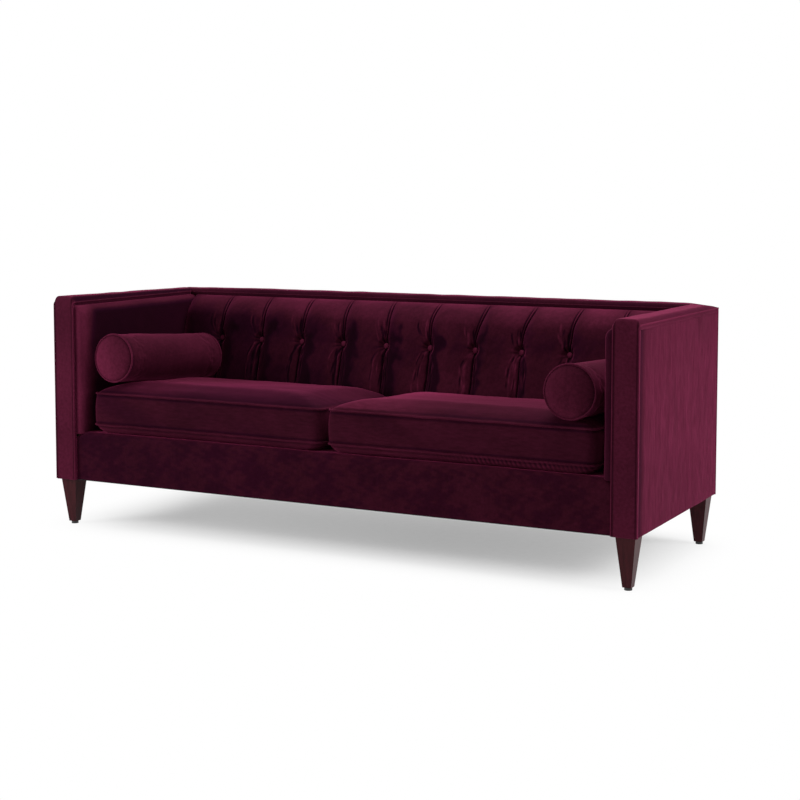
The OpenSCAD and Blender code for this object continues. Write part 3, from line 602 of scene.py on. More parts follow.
# Tufted back: heights in metres, measured where a pleat lies against the padding
CHANNELS = 11
PER_CHANNEL = 84
channel_w = 2 * pad_x / CHANNELS
PUFF = 22 * MM
knee_z = deck_h + 137 * MM
shoulder_z = seam_z - 85 * MM
button_z = seam_z - 163 * MM
foot_y = board_y - 149 * MM
shoulder_y = board_y - 84 * MM
lean = math.atan2(shoulder_y - foot_y, shoulder_z - knee_z)
BUTTON_R = 10 * MM
BUTTON_PULL = 6 * MM
# How far to the right the top of each pleat is sewn in
PLEAT_SHIFT = np.array([0, 0, 0, 9, 0, 0, 8, 22, 25, 19, 10, 0]) * MM


def spine():
    """The padding's line in a pleat, from foot to band: rows of (y, z, tilt, share of the puff)."""
    foot_r = 14 * MM
    rows = [(foot_y + foot_r * (1 - math.sin(a)), back_low.z + foot_r * (1 - math.cos(a)),
             a - math.pi / 2, math.sin(a)) for a in quarter(6)[1:]]
    rows += [(foot_y, z, 0, 1) for z in np.arange(back_low.z + foot_r + 6 * MM, knee_z, 6 * MM)]
    rows += [(foot_y + math.tan(lean) * (z - knee_z), z, lean, 1)
             for z in np.arange(knee_z + 2 * MM, shoulder_z, 3.6 * MM)]
    rows += [(band_y - (band_y - shoulder_y) * math.cos(a) ** 1.5,
              shoulder_z + (pad_top - shoulder_z) * math.sin(a) ** 1.5,
              lean + a / 2, 1 - math.sin(a) ** 4) for a in quarter(30)]
    rows = np.array(rows)
    for _ in range(6):
        rows[1:-1] = (rows[:-2] + 2 * rows[1:-1] + rows[2:]) / 4
    return rows


def pleat_wrinkles(d, s, column, seed):
    """Narrow folds that run down beside each pleat, in a bundle below the buttons and a few above."""
    rng = np.random.default_rng(seed)
    out = np.zeros_like(d)
    for k in range(1, CHANNELS):
        here = column == k
        dk, sk = d[here], s[here]
        for n in range(20):
            below = n < 13
            at = rng.uniform(-42, 34) * MM if below else rng.uniform(-46, -6) * MM
            height = rng.uniform(1.3, 2.5) * MM * (1 if n % 2 else -1)
            width = rng.uniform(1.8, 2.8) * MM
            near = rng.uniform(12, 34) * MM
            far = rng.uniform(80, 190) * MM if below else rng.uniform(42, 78) * MM
            bend, turn = rng.uniform(1.0, 3.5) * MM, rng.uniform(0, 6.3)
            down = -sk if below else sk
            path = at * (0.45 + 0.55 * rise(down, 0, 70 * MM)) + bend * np.sin(down / (20 * MM) + turn)
            live = rise(down, near * 0.4, near) * fall(down, far, 30 * MM)
            broken = 0.55 + 0.45 * np.sin(down / (rng.uniform(7, 13) * MM) + turn)
            out[here] += height * broken * bell(dk - path, width) * live
    return out


def tufted_back():
    """Channels with pleats between them and a button in each; d and s are across and up from a button."""
    rows = spine()
    t = np.arange(CHANNELS * PER_CHANNEL + 1) / PER_CHANNEL
    spot = t - 0.55 * np.sin(TURN * t) / TURN
    share = (spot - np.floor(spot + 1e-9))[None, :]
    pleat = np.rint(spot).astype(int)
    y0, z0, tilt, puff_share = (rows[:, i][:, None] for i in range(4))
    length = np.concatenate([[0], np.cumsum(np.hypot(np.diff(rows[:, 0]), np.diff(rows[:, 1])))])
    button_s = np.interp(button_z, rows[:, 1], length)
    s, d, column = np.broadcast_arrays((length - button_s)[:, None], (spot - pleat)[None, :] * channel_w,
                                       pleat[None, :])
    inner = (column > 0) & (column < CHANNELS)

    # a pleat's line wanders a little, and its top is sewn in to the right of its button
    wander = np.zeros_like(d)
    to_top = rise(length, button_s, length[-1] - button_s) ** 1.5
    for k in range(1, CHANNELS):
        line = spots(k * 3.7, length * 9, 0)
        path = ripples(line, 1.4, 100 + k) * 2.2 * MM * rise(np.abs(length - button_s), 0, 50 * MM)
        wander += np.where(column == k, (path + PLEAT_SHIFT[k] * to_top)[:, None], 0)
    xs = (-pad_x + channel_w * spot)[None, :] + wander * bell(d, 55 * MM)

    round_share = 1 - np.abs(2 * share - 1) ** 3.4
    away = np.hypot(d * 1.25, s)
    hold = inner * fall(away, 8 * MM, 24 * MM)
    fade = np.clip(puff_share * 1.6, 0, 1)
    out = PUFF * puff_share * round_share * (1 - hold) - BUTTON_PULL * hold

    # the seam's own crease, with a second fold beside it above the button
    folds = -3.6 * MM * bell(d, 2.6 * MM) * np.where(inner, 1.0, 0.35) * rise(away, 6 * MM, 10 * MM) * fade
    above = rise(s, 0, 40 * MM) * inner * fade
    fold_at = (5 + 3.5 * rise(s, 0, 170 * MM)) * MM
    folds += 1.2 * MM * bell(d + fold_at * 0.5, 2.2 * MM) * above
    folds -= 2.2 * MM * bell(d + fold_at, 1.9 * MM) * above
    folds += pleat_wrinkles(d, s, column, 5) * fade
    grid_at = spots(xs, 0, s)
    angle = np.arctan2(s, d)
    fan = np.sin(9 * angle + column * 2.3) + 0.6 * np.sin(14 * angle + column * 1.1)
    folds += MM * fan * rise(away, 9 * MM, 8 * MM) * bell(away, 30 * MM) * inner
    out += folds
    out += 0.9 * MM * ripples(grid_at * [1, 1, 0.6], 0.12, 19) * round_share * fade
    out += 0.35 * MM * ripples(grid_at, 0.035, 23) * fade

    # painted light on the folds and painted shade in the creases, and painted shade to the right of each
    # pleat low down
    tone_and_painted_light = np.clip(1 + folds / (1.6 * MM), 0.3, 2.0)
    edge = 20 * MM + 46 * MM * fall(xs, 0.05, 0.45)
    edge += 13 * MM * ripples(grid_at, 0.085, 29) + 5 * MM * ripples(grid_at, 0.027, 30)
    right = rise(edge - d, -8 * MM, 26 * MM) * rise(d, -3 * MM, 4 * MM)
    low = fall(s + 18 * MM * ripples(grid_at, 0.06, 31), 40 * MM, 34 * MM)
    tone_and_painted_light *= 1 - 0.68 * right * low

    xs = np.clip(xs, -pad_x + 0.3 * MM, pad_x - 0.3 * MM)
    grid = spots(xs, y0 - out * np.cos(tilt), np.maximum(z0 + out * np.sin(tilt), back_low.z))
    # close it on the plane of the board
    full = np.pad(grid, ((1, 1), (1, 1), (0, 0)), mode="edge")
    full[[0, -1], :, 1] = board_y
    full[:, [0, -1], 1] = board_y
    return flat_backed("tufted_back", full, np.pad(tone_and_painted_light, 1, mode="edge").ravel())


def covered_button(k):
    """Dome of velvet gathered under its rim, with a few soft facets from the gather."""
    dome = ((0.02, 4.6), (0.35, 4.5), (0.62, 4), (0.84, 2.9), (0.97, 1.3), (1, 0.2),
            (0.93, -0.8), (0.75, -1.2))
    angle = np.linspace(0, TURN, 40, endpoint=False)
    rings = []
    for share, height in dome:
        r = share * BUTTON_R * (1 + 0.018 * np.sin(12 * angle + k) * rise(share, 0.6, 0.4))
        rings.append(spots(r * np.cos(angle), r * np.sin(angle), height * MM))
    x, y, z = axes(rings)
    # the dome's axis points out of the padding, along its slope
    c, s = math.cos(lean), math.sin(lean)
    button_y = foot_y + math.tan(lean) * (button_z - knee_z)
    sink = BUTTON_PULL - 0.5 * MM
    return swept(f"button_{k}", spots(x + k * channel_w - pad_x, button_y + (sink - z) * c + y * s,
                                      button_z - (sink - z) * s + y * c))


# Front rail and deck


def front_rail():
    """Padded rail: a face, a rolled top edge and a short return to the deck, softened at both ends."""
    roll_r = 18 * MM
    roll_z = rail_high.z - roll_r
    front, foot = rail_low.y, rail_low.z
    section = [(front + 14 * MM, foot + 2 * MM), (front + 4 * MM, foot), (front + 1.2 * MM, foot + 1.2 * MM)]
    section += [(front, z) for z in np.arange(foot + 5 * MM, roll_z, 7 * MM)]
    section += [(front + roll_r * (1 - math.cos(a)), roll_z + roll_r * math.sin(a)) for a in quarter(11)]
    section += [(deck_front + 6 * MM, rail_high.z), (deck_front + 6 * MM, rail_high.z - 10 * MM)]
    grid = spots(np.linspace(-band_x + MM, band_x - MM, 241)[:, None], *np.array(section).T)
    height = np.clip((grid[..., 2] - foot) / (rail_high.z - foot), 0, 1)
    end = np.clip((np.abs(grid[..., 0]) - (pad_x - 14 * MM)) / (band_x - pad_x + 14 * MM), 0, 1)
    grid[..., 2] -= 15 * MM * end ** 2 * height ** 2
    face = height * (1 - height) * 4
    grid[..., 1] -= (MM + 0.5 * MM * ripples(grid * [1, 1, 1.6], 0.22, 51)) * face
    grid[..., 2] += 0.7 * MM * ripples(grid * [1, 0, 0], 0.19, 53) * height ** 4
    return swept("front_rail", grid)


def seat_deck():
    xs, ys = (edge_profile(low, high, 2 * MM, 2 * MM, 6 * MM, 14 * MM)
              for low, high in ((-board_x, board_x), (0, (board_y - deck_front) / TILT_C)))
    return panel("seat_deck", lambda x, y, height: on_deck(spots(x, y, height - 0.2 * MM)), xs, ys, 6 * MM,
                 lambda x, y: -0.8 * MM + 0.5 * MM * ripples(spots(x, y, 0), 0.2, 61))


def dust_cloth():
    low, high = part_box("dust_cover")
    x, y = np.meshgrid(np.linspace(low.x, high.x, 90), np.linspace(low.y, high.y, 36), indexing="ij")
    inside = (1 - (x / high.x) ** 8) * (1 - ((y - (low.y + high.y) / 2) / ((high.y - low.y) / 2)) ** 8)
    under = low.z - (0.4 * MM * ripples(spots(x, y, 0), 0.25, 71) + 0.5 * MM) * inside
    count = x.size
    rim = border(*x.shape)
    faces = grid_faces(*x.shape) + [f[::-1] for f in grid_faces(*x.shape, count)]
    faces += [(a, b, b + count, a + count) for a, b in zip(rim, rim[1:] + rim[:1])]
    obj = add_mesh("dust_cloth", [spots(x, y, under), spots(x, y, high.z)], faces)
    obj.data.materials.append(cad_finish["dust_cloth"])
    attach(obj, "root")
    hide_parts("dust_cover")


# Loose cushions, in the tilted frame of the deck
BOXING = 108 * MM
BELLY = 28 * MM
CUSHION_CROWN = 40 * MM
CORNER_R = 30 * MM
SIDE_PULL = 6 * MM
REST = 0.3 * MM
WELT_R = 3 * MM
GATHER = 15 * MM
LOWER_SEAM = REST + BELLY
UPPER_SEAM = LOWER_SEAM + BOXING
# How many points a plan has along its long sides, its short sides and round a corner
PLAN_STEPS = (46, 28, 7)
WELT_STEPS = (150, 90, 10)


def cushion_frame(node):
    """Centre, half width and half depth of a cushion's seams in the deck's frame, from its solid."""
    low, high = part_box(node)
    front = (low.y - deck_front) / TILT_C
    rear = (high.y - deck_front - UPPER_SEAM * TILT_S) / TILT_C
    return (low.x + high.x) / 2, (front + rear) / 2, (high.x - low.x) / 2, (rear - front) / 2


def outline(a, b, r, pull, steps):
    """Plan of a cushion: rounded corners, and sides that draw in between them."""
    long_steps, short_steps, corner_steps = steps

    def side(length, reach, count):
        t = np.arange(count) / count * 2 - 1
        return np.stack([t * length, -(reach - pull * (1 - t * t))], -1)

    def corner(a, b):
        angle = np.radians(-90 + 90 * np.arange(corner_steps) / corner_steps)
        return np.stack([a - r + r * np.cos(angle), -(b - r) + r * np.sin(angle)], -1)

    halves = [side(a - r, b, long_steps), corner(a, b)]
    halves += [part @ np.array([[0, 1], [-1, 0]]) for part in (side(b - r, a, short_steps), corner(b, a))]
    return np.concatenate(halves + [-part for part in halves])


def cushion_rings(swell):
    """Rings of a cushion from below to above: (share of the plan, height, how far it stands out)."""
    rings = [(s, REST, 0) for s in (0.06, 0.25, 0.5, 0.75, 0.88)]
    rings += [(s, REST + t * BELLY, 0) for s, t in
              ((0.93, 0.02), (0.958, 0.16), (0.975, 0.38), (0.988, 0.66), (0.998, 0.9), (1, 1))]
    rings += [(1, LOWER_SEAM + BOXING * t, swell * 4 * t * (1 - t)) for t in np.linspace(0, 1, 13)[1:-1]]
    rings.append((1, UPPER_SEAM, 0))
    rings += [(s, UPPER_SEAM + CUSHION_CROWN * (1 - s ** 8), 0)
              for s in (0.985, 0.965, 0.94, 0.91, 0.87, 0.82, 0.76, 0.68, 0.58, 0.46, 0.32, 0.18, 0.06)]
    return rings


def seat_cushion(node, name, seed):
    """Boxed cushion with piped seams; its cloth is inflated between the seams by a simulation."""
    x0, y0, a, b = cushion_frame(node)
    a, b = a - WELT_R, b - WELT_R
    loops = []
    for share, height, out in cushion_rings(3 * MM):
        r = max(CORNER_R * share, 2 * MM)
        plan = outline(a * share + out, b * share + out, r, SIDE_PULL * share, PLAN_STEPS)
        loops.append(spots(*plan.T, height))
    obj = swept(name, np.array(loops) + [x0, y0, 0])

    weigh = partial(cushion_pins, x0, y0, a, b)
    inflate(obj, weigh, 6.5 * MM, 5 * MM, CUSHION_SIM)
    shape = points_of(obj)
    relax(obj, shape, 1 - weigh(shape))
    settle(shape, x0, y0, a, b, seed, "right" in name)
    bed_bolster(shape, node.replace("cushion", "bolster"))
    set_points(obj, on_deck(shape))
    subdivide(obj)

    welts = []
    for height in (LOWER_SEAM, UPPER_SEAM):
        plan = outline(a + 0.4 * MM, b + 0.4 * MM, CORNER_R, SIDE_PULL, WELT_STEPS)
        path = spots(*plan.T, height) + [x0, y0, 0]
        path += ripples(path, 0.09, seed + 3)[:, None] * np.array([0.25, 0.25, 0.7]) * MM
        steps = np.arange(len(path))
        wobble = 1 + 0.05 * np.sin(steps * 1.9) + 0.04 * np.sin(steps * 0.7 + seed)
        welts.append(tube(on_deck(path), WELT_R, 10, True, wobble))
    return with_welts(obj, welts)


def cushion_pins(x0, y0, a, b, points):
    """How firmly each point is held: fully along both seams and under the cushion."""
    x, y, z = points.T
    near_rim = rise(np.maximum(np.abs((x - x0) / a), np.abs((y - y0) / b)), 0.93, 0.05)
    seam = np.maximum(bell(z - LOWER_SEAM, 5 * MM), bell(z - UPPER_SEAM, 5 * MM)) * near_rim
    return np.maximum(seam, z < REST + 3 * MM)


def settle(shape, x0, y0, a, b, seed, gathered):
    """What the simulation leaves out: the flat underside, creases beside the welts and soft dents."""
    x, y, z = shape.T
    level = [1, 1, 0]
    top = rise(z, UPPER_SEAM, 20 * MM)
    shape[:, 2] += top * (1.4 * MM * ripples(shape * level, 0.24, seed)
                          + 0.4 * MM * ripples(shape * level, 0.07, seed + 1))
    crease = bell(z - UPPER_SEAM, 6 * MM) + bell(z - LOWER_SEAM, 6 * MM)
    rim_x, rim_y = np.abs(x - x0) / a, np.abs(y - y0) / b
    lengthwise = rim_y > rim_x
    boxing = (z > LOWER_SEAM) & (z < UPPER_SEAM) & (rim_y > 0.9) & lengthwise
    shape[:, 1] -= np.sign(y - y0) * lengthwise * crease * 1.8 * MM * (rim_y > 0.93)
    shape[:, 0] -= np.sign(x - x0) * ~lengthwise * crease * 1.8 * MM * (rim_x > 0.93)
    soft = 0.8 * MM * ripples(shape * [1, 1, 0.7], 0.1, seed + 2)
    shape[:, 1] += boxing * np.sign(y - y0) * soft
    if gathered:
        belly = bell(z - LOWER_SEAM + 12 * MM, 11 * MM) * (rim_y > 0.9) * (y < y0)
        shape[:, 1] -= 2.2 * MM * gathers(x, z - LOWER_SEAM) * belly
    shape[:, 2] = np.maximum(shape[:, 2], REST)


def gathers(x, height):
    """Slanting, uneven tucks of about -1 to 1 in the right part of the right cushion's lower front edge."""
    line = spots(x, 0, 0)
    reach = rise(x, 0.34, 0.26) * (0.75 + 0.25 * ripples(line, 0.09, 97))
    return np.sin(TURN * (x + 0.35 * height) / GATHER + 1.1 * ripples(line, 0.16, 98)) * reach


def bed_bolster(shape, node):
    """Presses the trough of the bolster above into a cushion's crown."""
    middle, turn, tip = bolster_pose(node)
    x, y, _ = (shape - middle).T
    c, s = math.cos(turn), math.sin(turn)
    across, along = x * c - y * s, x * s + y * c
    reach = BOLSTER_R + 1.2 * MM
    inside = (np.abs(across) < reach) & (np.abs(along) < BOLSTER_LEN / 2 + BOLSTER_BULGE)
    under = middle[2] - tip * along - np.sqrt(np.maximum(reach ** 2 - across ** 2, 0))
    soft = 2.5 * MM
    lowered = np.minimum(shape[:, 2], under) - soft * np.exp(-np.abs(shape[:, 2] - under) / soft) * 0.35
    on_top = shape[:, 2] > UPPER_SEAM + 4 * MM
    shape[:, 2] = np.where(inside & on_top & (under < shape[:, 2] + 3 * soft), lowered, shape[:, 2])


def bolster_pose(node):
    """A bolster's middle in the deck's frame, how far it is turned, and how fast it sinks to the back."""
    low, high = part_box(node)
    middle = off_deck(np.array((low + high) / 2))
    if node.startswith("left"):
        return middle + [-3 * MM, 0, -1.5 * MM], LEFT_TURN, math.radians(1.1)
    return middle, 0.0, 0.0


# Cloth simulation
CUSHION_SIM = dict(pressure=2.2, grow=-0.003, frames=14, stiff=6.0)
BOLSTER_SIM = dict(pressure=2.0, grow=-0.004, frames=10, stiff=3.0)


def relax(obj, points, share, rounds=14):
    """Evens out the small steps of the remeshed cloth, by a share of 0 to 1 at each point."""
    ends = np.zeros(len(obj.data.edges) * 2, int)
    obj.data.edges.foreach_get("vertices", ends)
    a, b = ends.reshape(-1, 2).T
    size = len(points)
    count = np.maximum(np.bincount(ends, minlength=size), 1)
    for _ in range(rounds):
        for axis in range(3):
            total = np.bincount(a, points[b, axis], size) + np.bincount(b, points[a, axis], size)
            points[:, axis] += 0.5 * share * (total / count - points[:, axis])


def apply_modifier(obj, kind, **values):
    select(obj)
    modifier = put(obj.modifiers.new(kind, kind), **values)
    bpy.ops.object.modifier_apply(modifier=modifier.name)


def subdivide(obj):
    apply_modifier(obj, "SUBSURF", levels=1, render_levels=1)
    for polygon in obj.data.polygons:
        polygon.use_smooth = True


def inflate(obj, weigh, voxel, cap, sim):
    """Remeshes the piece evenly, then lets pressure fill its cloth between the pinned seams."""
    if voxel:
        apply_modifier(obj, "REMESH", mode="VOXEL", voxel_size=voxel)
        set_nap(obj, 1.0)
    select(obj)
    rest = points_of(obj)
    group = obj.vertex_groups.new(name="held")
    for i, weight in enumerate(weigh(rest)):
        if weight > 0.02:
            group.add([i], float(weight), "REPLACE")
    cloth = obj.modifiers.new("cloth", "CLOTH")
    put(cloth.settings, quality=5, mass=0.3, tension_stiffness=15, compression_stiffness=15,
        bending_stiffness=sim["stiff"], use_pressure=True, uniform_pressure_force=sim["pressure"],
        shrink_min=sim["grow"], vertex_group_mass="held", pin_stiffness=1)
    cloth.settings.effector_weights.gravity = 0
    cloth.collision_settings.use_collision = False
    put(cloth.point_cache, frame_start=1, frame_end=sim["frames"])
    scene = bpy.context.scene
    for step in range(1, sim["frames"] + 1):
        scene.frame_set(step)
    bpy.ops.object.modifier_apply(modifier="cloth")
    scene.frame_set(1)
    moved = points_of(obj) - rest
    far = np.linalg.norm(moved, axis=1)
    moved *= np.minimum(1, cap / np.maximum(far, 1e-9))[:, None]
    set_points(obj, rest + moved)
    obj.vertex_groups.clear()


# Bolsters
BOLSTER_R = 85 * MM
BOLSTER_LEN = 505 * MM
BOLSTER_BULGE = 11 * MM
FRONT_BULGE = 17 * MM
END_R = BOLSTER_R - WELT_R
LEFT_TURN = math.radians(3)
PUCKERS = 46


def bolster(node, name, seed):
    """Round bolster with flat-sewn ends that bulge, piped round both seams."""
    angle = np.linspace(0, TURN, 132, endpoint=False)
    disc = (0.04, 0.2, 0.36, 0.5, 0.62, 0.72, 0.8, 0.87, 0.92, 0.96)
    rings = [(-FRONT_BULGE * (1 - share ** 3.4), END_R * share) for share in disc]
    rings += [(BOLSTER_LEN * t, END_R + 1.2 * MM * rise(min(t, 1 - t) * 12, 0, 1))
              for t in np.linspace(0, 1, 74)]
    rings += [(BOLSTER_LEN + (BOLSTER_BULGE - MM) * (1 - share ** 3), END_R * share) for share in disc[::-1]]
    obj = swept(name, np.array([spots(r * np.cos(angle), at, r * np.sin(angle)) for at, r in rings]))

    def weigh(points):
        return np.maximum(bell(points[:, 1], 34 * MM), bell(points[:, 1] - BOLSTER_LEN, 34 * MM))

    inflate(obj, weigh, 0, 2.5 * MM, BOLSTER_SIM)
    shape = points_of(obj)
    radius = np.hypot(shape[:, 0], shape[:, 2])
    turn = np.arctan2(shape[:, 2], shape[:, 0])
    pucker = np.sin(PUCKERS * turn + seed) + 0.7 * np.sin(29 * turn + 2 * seed)
    for end, way in ((0.0, -1), (BOLSTER_LEN, 1)):
        beside = np.abs(shape[:, 1] - end)
        on_disc = way * (shape[:, 1] - end) >= -0.1 * MM
        disc_side = on_disc * bell(END_R - radius, 16 * MM)
        # the disc is drawn in beside its piping, in small puckers
        shape[:, 1] -= way * 3.2 * MM * on_disc * bell(END_R - radius, 4.5 * MM)
        shape[:, 1] += way * 0.55 * MM * pucker * disc_side
        radius += 0.45 * MM * pucker * (1 - on_disc) * bell(beside, 12 * MM)
        radius -= 2.2 * MM * (1 - on_disc) * bell(beside, 5 * MM)
    radius += 0.7 * MM * ripples(shape, 0.14, seed) * rise(radius, 0, 40 * MM)
    # painted shade in the creases beside the front piping and just behind the front seam; painted light on
    # the lower left of the front disc and painted shade towards its upper right
    front = shape[:, 1] < MM
    crease = bell(END_R - radius, 7 * MM) * front + bell(shape[:, 1] - 8 * MM, 5 * MM)
    tone = np.where(front, 1.25 - 4.5 * (shape[:, 0] + 0.5 * shape[:, 2]), 0.8)
    set_nap(obj, tone * (1 - 0.5 * np.clip(crease, 0, 1)))
    radius = np.minimum(radius, BOLSTER_R + MM)
    shape[:, 0] = radius * np.cos(turn)
    shape[:, 2] = np.maximum(radius * np.sin(turn), -BOLSTER_R + 0.5 * MM)

    loop = np.linspace(0, TURN, 168, endpoint=False)
    size = END_R - 0.1 * MM
    welts = add_welts(name, [
        tube(spots(size * np.cos(loop), end, size * np.sin(loop)), WELT_R + 0.3 * MM, 10, True,
             1 + 0.06 * np.sin(PUCKERS * loop + seed)) for end in (0.8 * MM, BOLSTER_LEN - 0.8 * MM)])
    set_points(obj, shape)
    subdivide(obj)
    obj = join(name, [obj] + welts)
    middle, turned, tip = bolster_pose(node)
    across, along, up = points_of(obj).T
    along = along - BOLSTER_LEN / 2
    c, s = math.cos(turned), math.sin(turned)
    set_points(obj, on_deck(middle + spots(across * c + along * s, along * c - across * s, up - tip * along)))
    return obj


# Painted light and shade on each panel's velvet, with some random tone


# A painted light level for a whole panel, with random mottle
def brushed(level, wave=0.35, depth=0.1, seed=1):
    return lambda points, normals: level * (1 + depth * ripples(points, wave, seed))


def back_shade(points, normals):
    """Painted light and shade: lighter on faces turned to the right, on the top roll and low down towards the
    right, darker towards the far left, with random patches.
    """
    x, _, z = points.T
    # painted light on faces turned to the right
    turned = np.clip(normals[:, 0] * 1.1 + 0.45, 0, 1)
    lit = 0.72 + 0.62 * rise(z, 0.66, 0.11) + 0.3 * rise(x, -0.1, 0.25) * fall(z, 0.575, 0.07)
    patch = np.clip(1 + 0.16 * ripples(points, 0.16, 77) + 0.07 * ripples(points, 0.03, 76), 0.5, 1.5)
    return (0.36 + 0.28 * turned) * lit * (0.6 + 0.4 * rise(x, -0.95, 0.7)) * patch


def pad_shade(side, points, normals):
    """Painted light on its front edge and top roll and painted shade on its face; on the right arm, painted
    shade over the whole of it.
    """
    face = rise(np.abs(normals[:, 0]), 0.8, 0.2)
    deep = rise(points[:, 1], pad_front + 0.004 + 0.008 * ripples(points, 0.12, 75), 0.085)
    level = 1.05 - 0.97 * face * deep - 0.45 * deep * (1 - face) if side < 0 else 0.36
    return level * (1 + 0.12 * ripples(points, 0.2, 78))


def band_shade(side, points, normals):
    """Painted light and shade on an arm's front and its top, with painted shade on the left arm's top and in
    the creases beside the piping.
    """
    front, back = (0.92, 0.42) if side < 0 else (0.86, 0.82)
    across = np.abs(np.abs(points[:, 0]) - band_mid) / (band_w / 2)
    # painted shade in the creases beside the piping
    crease = 1 - 0.65 * bell(across - 0.9, 0.08)
    top = rise(points[:, 1], -half_d + 6 * MM, 16 * MM)
    return (front + (back - front) * top) * crease * (1 + 0.08 * ripples(points, 0.3, 12))


def side_shade(points, normals):
    """Darker towards the top and along its front edge, with random mottle, and painted shade in the crease
    beside the piping.
    """
    _, y, z = points.T
    away = np.minimum(y + half_d, seam_z - z)
    mottle = 0.06 * ripples(points * [1, 1, 0.4], 0.05, 81) + 0.05 * ripples(points, 0.3, 13)
    level = (0.96 - 0.14 * rise(z, 0.58, 0.14)) * (1 - 0.74 * fall(y, -half_d + 25 * MM, 50 * MM))
    # painted shade in the crease beside the piping
    return level * (1 + mottle) * (1 - 0.45 * bell(away - 7 * MM, 4 * MM))


def rail_shade(points, normals):
    """Darker towards the left, in random blotches."""
    along = points * [0.5, 1, 1]
    blotch = 0.8 * ripples(along, 0.055, 82, 11) + 0.8 * ripples(along, 0.02, 83, 11)
    level = 0.32 + 0.09 * rise(points[:, 0], -half_w, 2 * half_w)
    return level * (1 + 0.36 * (rise(blotch, -1, 2) - 0.5))


def cushion_shade(side, points, normals):
    """Painted light and shade: a dark boxing between a top with painted light, dimmer towards its front, and
    a belly with more painted light; painted shade in the creases beside the piping; random tone; and on the
    right cushion, painted light and shade on the tucks of the lower front edge.
    """
    x, y = points[:, 0], points[:, 1]
    height = off_deck(points)[:, 2]
    above = rise(height, UPPER_SEAM - MM, 14 * MM)
    below = fall(height, LOWER_SEAM - 4 * MM, 4 * MM)
    if side < 0:
        lit = 0.53 - 0.18 * rise(x, -0.68, 0.2)
    else:
        lit = (0.58 + 1.26 * fall(x, 0.02, 0.42)) * (0.68 + 0.32 * rise(x, 0.01, 0.08))
    lit *= 0.62 + 0.38 * rise(y, -0.34, 0.24)
    tone = (0.36 + 0.09 * rise(x, -0.75, 0.9)) * (1 - above) + lit * above + 0.22 * below
    # painted shade in the creases beside the piping
    for seam in (LOWER_SEAM, UPPER_SEAM):
        tone *= 1 - 0.45 * bell(np.abs(height - seam) - 8 * MM, 3.5 * MM)
    tone *= 1 + 0.13 * ripples(points * [1, 1, 2], 0.22, 79) * (1 - 0.5 * above)
    # painted light and shade on the tucks
    if side > 0:
        row = bell(height - LOWER_SEAM + 12 * MM, 12 * MM) * (y < -0.25)
        tone *= 1 + 0.62 * row * gathers(x, height - LOWER_SEAM)
    return tone


def bolster_shade(side, points, normals):
    """Painted light along its top and painted shade below; the right one's end has deeper painted shade than
    the left one's; random tone.
    """
    level = np.where(normals[:, 1] < -0.7, 0.82 if side < 0 else 0.58, 0.64 + 0.16 * normals[:, 2])
    return level * (1 + 0.09 * ripples(points, 0.16, 14) + 0.05 * ripples(points, 0.03, 15))


# The pieces

for side, word in ((-1, "left"), (1, "right")):
    arm, cushion, roll = f"{word}_arm", f"{word}_cushion", f"{word}_bolster"
    upholster(arm_band(f"{arm}_band", side, 11 + side), [f"{arm}_band_cover", f"{arm}_front_foam"],
              partial(band_shade, side))
    upholster(arm_side(f"{arm}_side", side, 21 + side), [f"{arm}_outer_cover"], side_shade, side_velvet)
    upholster(arm_pad(f"{arm}_pad", side, 27 + side), [f"{arm}_inner_cover", f"{arm}_foam"],
              partial(pad_shade, side))
    upholster(seat_cushion(f"{cushion}_cover", cushion, 80 + side), [f"{cushion}_cover", f"{cushion}_core"],
              partial(cushion_shade, side), seat_velvet, f"{word}_seat_cushion")
    upholster(bolster(f"{roll}_cover", roll, 90 + side), [f"{roll}_cover", f"{roll}_core"],
              partial(bolster_shade, side), body=roll)
# painted shade over the whole back band
upholster(back_band(), ["back_band_cover", "back_top_foam"], brushed(0.38, 0.4, 0.07, 15))
upholster(outer_back(), ["outer_back_cover"], brushed(1.0, 0.35, 0.08, 16), side_velvet)
upholster(tufted_back(), ["tufted_back_cover", "back_pad_foam"], back_shade)
upholster(join("back_buttons_covered", [covered_button(k) for k in range(1, CHANNELS)]), ["back_buttons"],
          brushed(1.05))
upholster(front_rail(), ["front_rail_cover", "front_rail_foam"], rail_shade)
# painted shade over the whole deck
upholster(seat_deck(), ["seat_deck_cover", "seat_deck_pad"], brushed(0.5), seat_velvet)
dust_cloth()


# Camera, floor and light

CAMERA_AT = (2.5759, -4.7516, 1.1717)
CAMERA_TURN = (math.pi / 2 - 0.08084, 0, 0.48258)
# Name, place, what it points at, size in metres, power in watts
LAMPS = [
    ("overhead", (0.5, 0.3, 3.2), (0, 0, 0.4), (3, 1.8), 75),
    ("left_front", (-3.2, -2.8, 1.7), (-0.8, -0.2, 0.5), (1.6, 1.6), 90),
    ("right_side", (3.9, 0.3, 1.6), (1, 0, 0.5), (1.8, 1.8), 75),
]
AMBIENT = 0.28
FLOOR_SIZE = 14


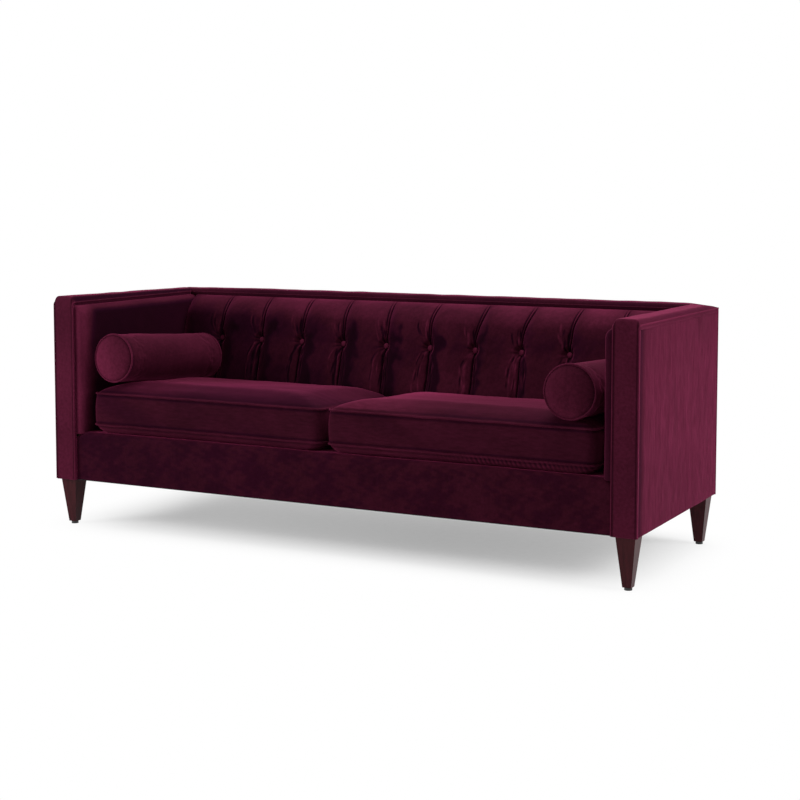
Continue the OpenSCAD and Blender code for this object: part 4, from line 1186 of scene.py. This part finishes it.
def add_floor():
    """Pale floor that keeps the sofa's shadow and fades to white away from it."""
    mesh = bpy.data.meshes.new("floor")
    corners = ((-1, -1), (1, -1), (1, 1), (-1, 1))
    mesh.from_pydata([(x * FLOOR_SIZE, y * FLOOR_SIZE, 0) for x, y in corners], [], [(0, 1, 2, 3)])
    s = Shader("floor")
    grain = s.ramp(s.noise(40.0, 3.0, 0.5), 0.3, 0.7, (0.86, 0.86, 0.86), (0.9, 0.9, 0.9))
    s.finish(Base_Color=grain, Roughness=0.6, Specular_IOR_Level=0.2)
    x, y, _ = s.add("ShaderNodeSeparateXYZ", Vector=s.place()).outputs
    # 1 under the sofa and 0 away from it: each pair is where the shadow has gone and where it is full
    under = 1.0
    for value, gone, whole in ((s.math("ABSOLUTE", x, 0.0), half_w + 0.16, half_w - 0.36),
                               (y, -half_d - 0.16, -half_d + 0.31), (y, half_d + 0.2, half_d - 0.12)):
        under = s.math("MULTIPLY", under, s.spread(value, 0.0, 1.0, gone, whole, "SMOOTHERSTEP"))
    white = s.math("SUBTRACT", 1.0, s.math("MULTIPLY", under, s.spread(x, 0.575, 0.645, -1.0, 0.2)))
    path = s.add("ShaderNodeLightPath").outputs
    seen = s.math("MAXIMUM", path["Is Camera Ray"], path["Is Glossy Ray"])
    glow = s.add("ShaderNodeEmission", Color=(1, 1, 1, 1), Strength=1.0).outputs[0]
    blend = s.nodes.new("ShaderNodeMixShader")
    for key, value in enumerate((s.math("MULTIPLY", white, seen), s.surface.outputs[0], glow)):
        s.set(blend, str(key), value)
    s.set(s.nodes["Material Output"], "Surface", blend.outputs[0])
    mesh.materials.append(s.owner)
    link_new("floor", mesh)


def add_world():
    """White where it is seen, and a dimmer light on the sofa."""
    world = bpy.data.worlds.new("studio")
    bpy.context.scene.world = world
    s = Shader("studio", world)
    path = s.add("ShaderNodeLightPath").outputs
    seen = s.math("MAXIMUM", s.math("MAXIMUM", path["Is Camera Ray"], path["Is Glossy Ray"]),
                  path["Is Transmission Ray"])
    s.finish(Color=(1, 1, 1, 1), Strength=s.spread(seen, AMBIENT, 1.0))


lens = put(bpy.data.cameras.new("camera"), lens=71.895, sensor_width=36, shift_y=-0.1005)
bpy.context.scene.camera = link_new("camera", lens, location=CAMERA_AT, rotation_euler=CAMERA_TURN)
add_floor()
add_world()
for name, at, aim, (wide, deep), power in LAMPS:
    lamp = put(bpy.data.lights.new(name, "AREA"), shape="RECTANGLE", size=wide, size_y=deep, energy=power)
    turn = (Vector(aim) - Vector(at)).to_track_quat("-Z", "Y").to_euler()
    link_new(name, lamp, location=at, rotation_euler=turn)
bpy.context.scene.view_settings.view_transform = "Standard"
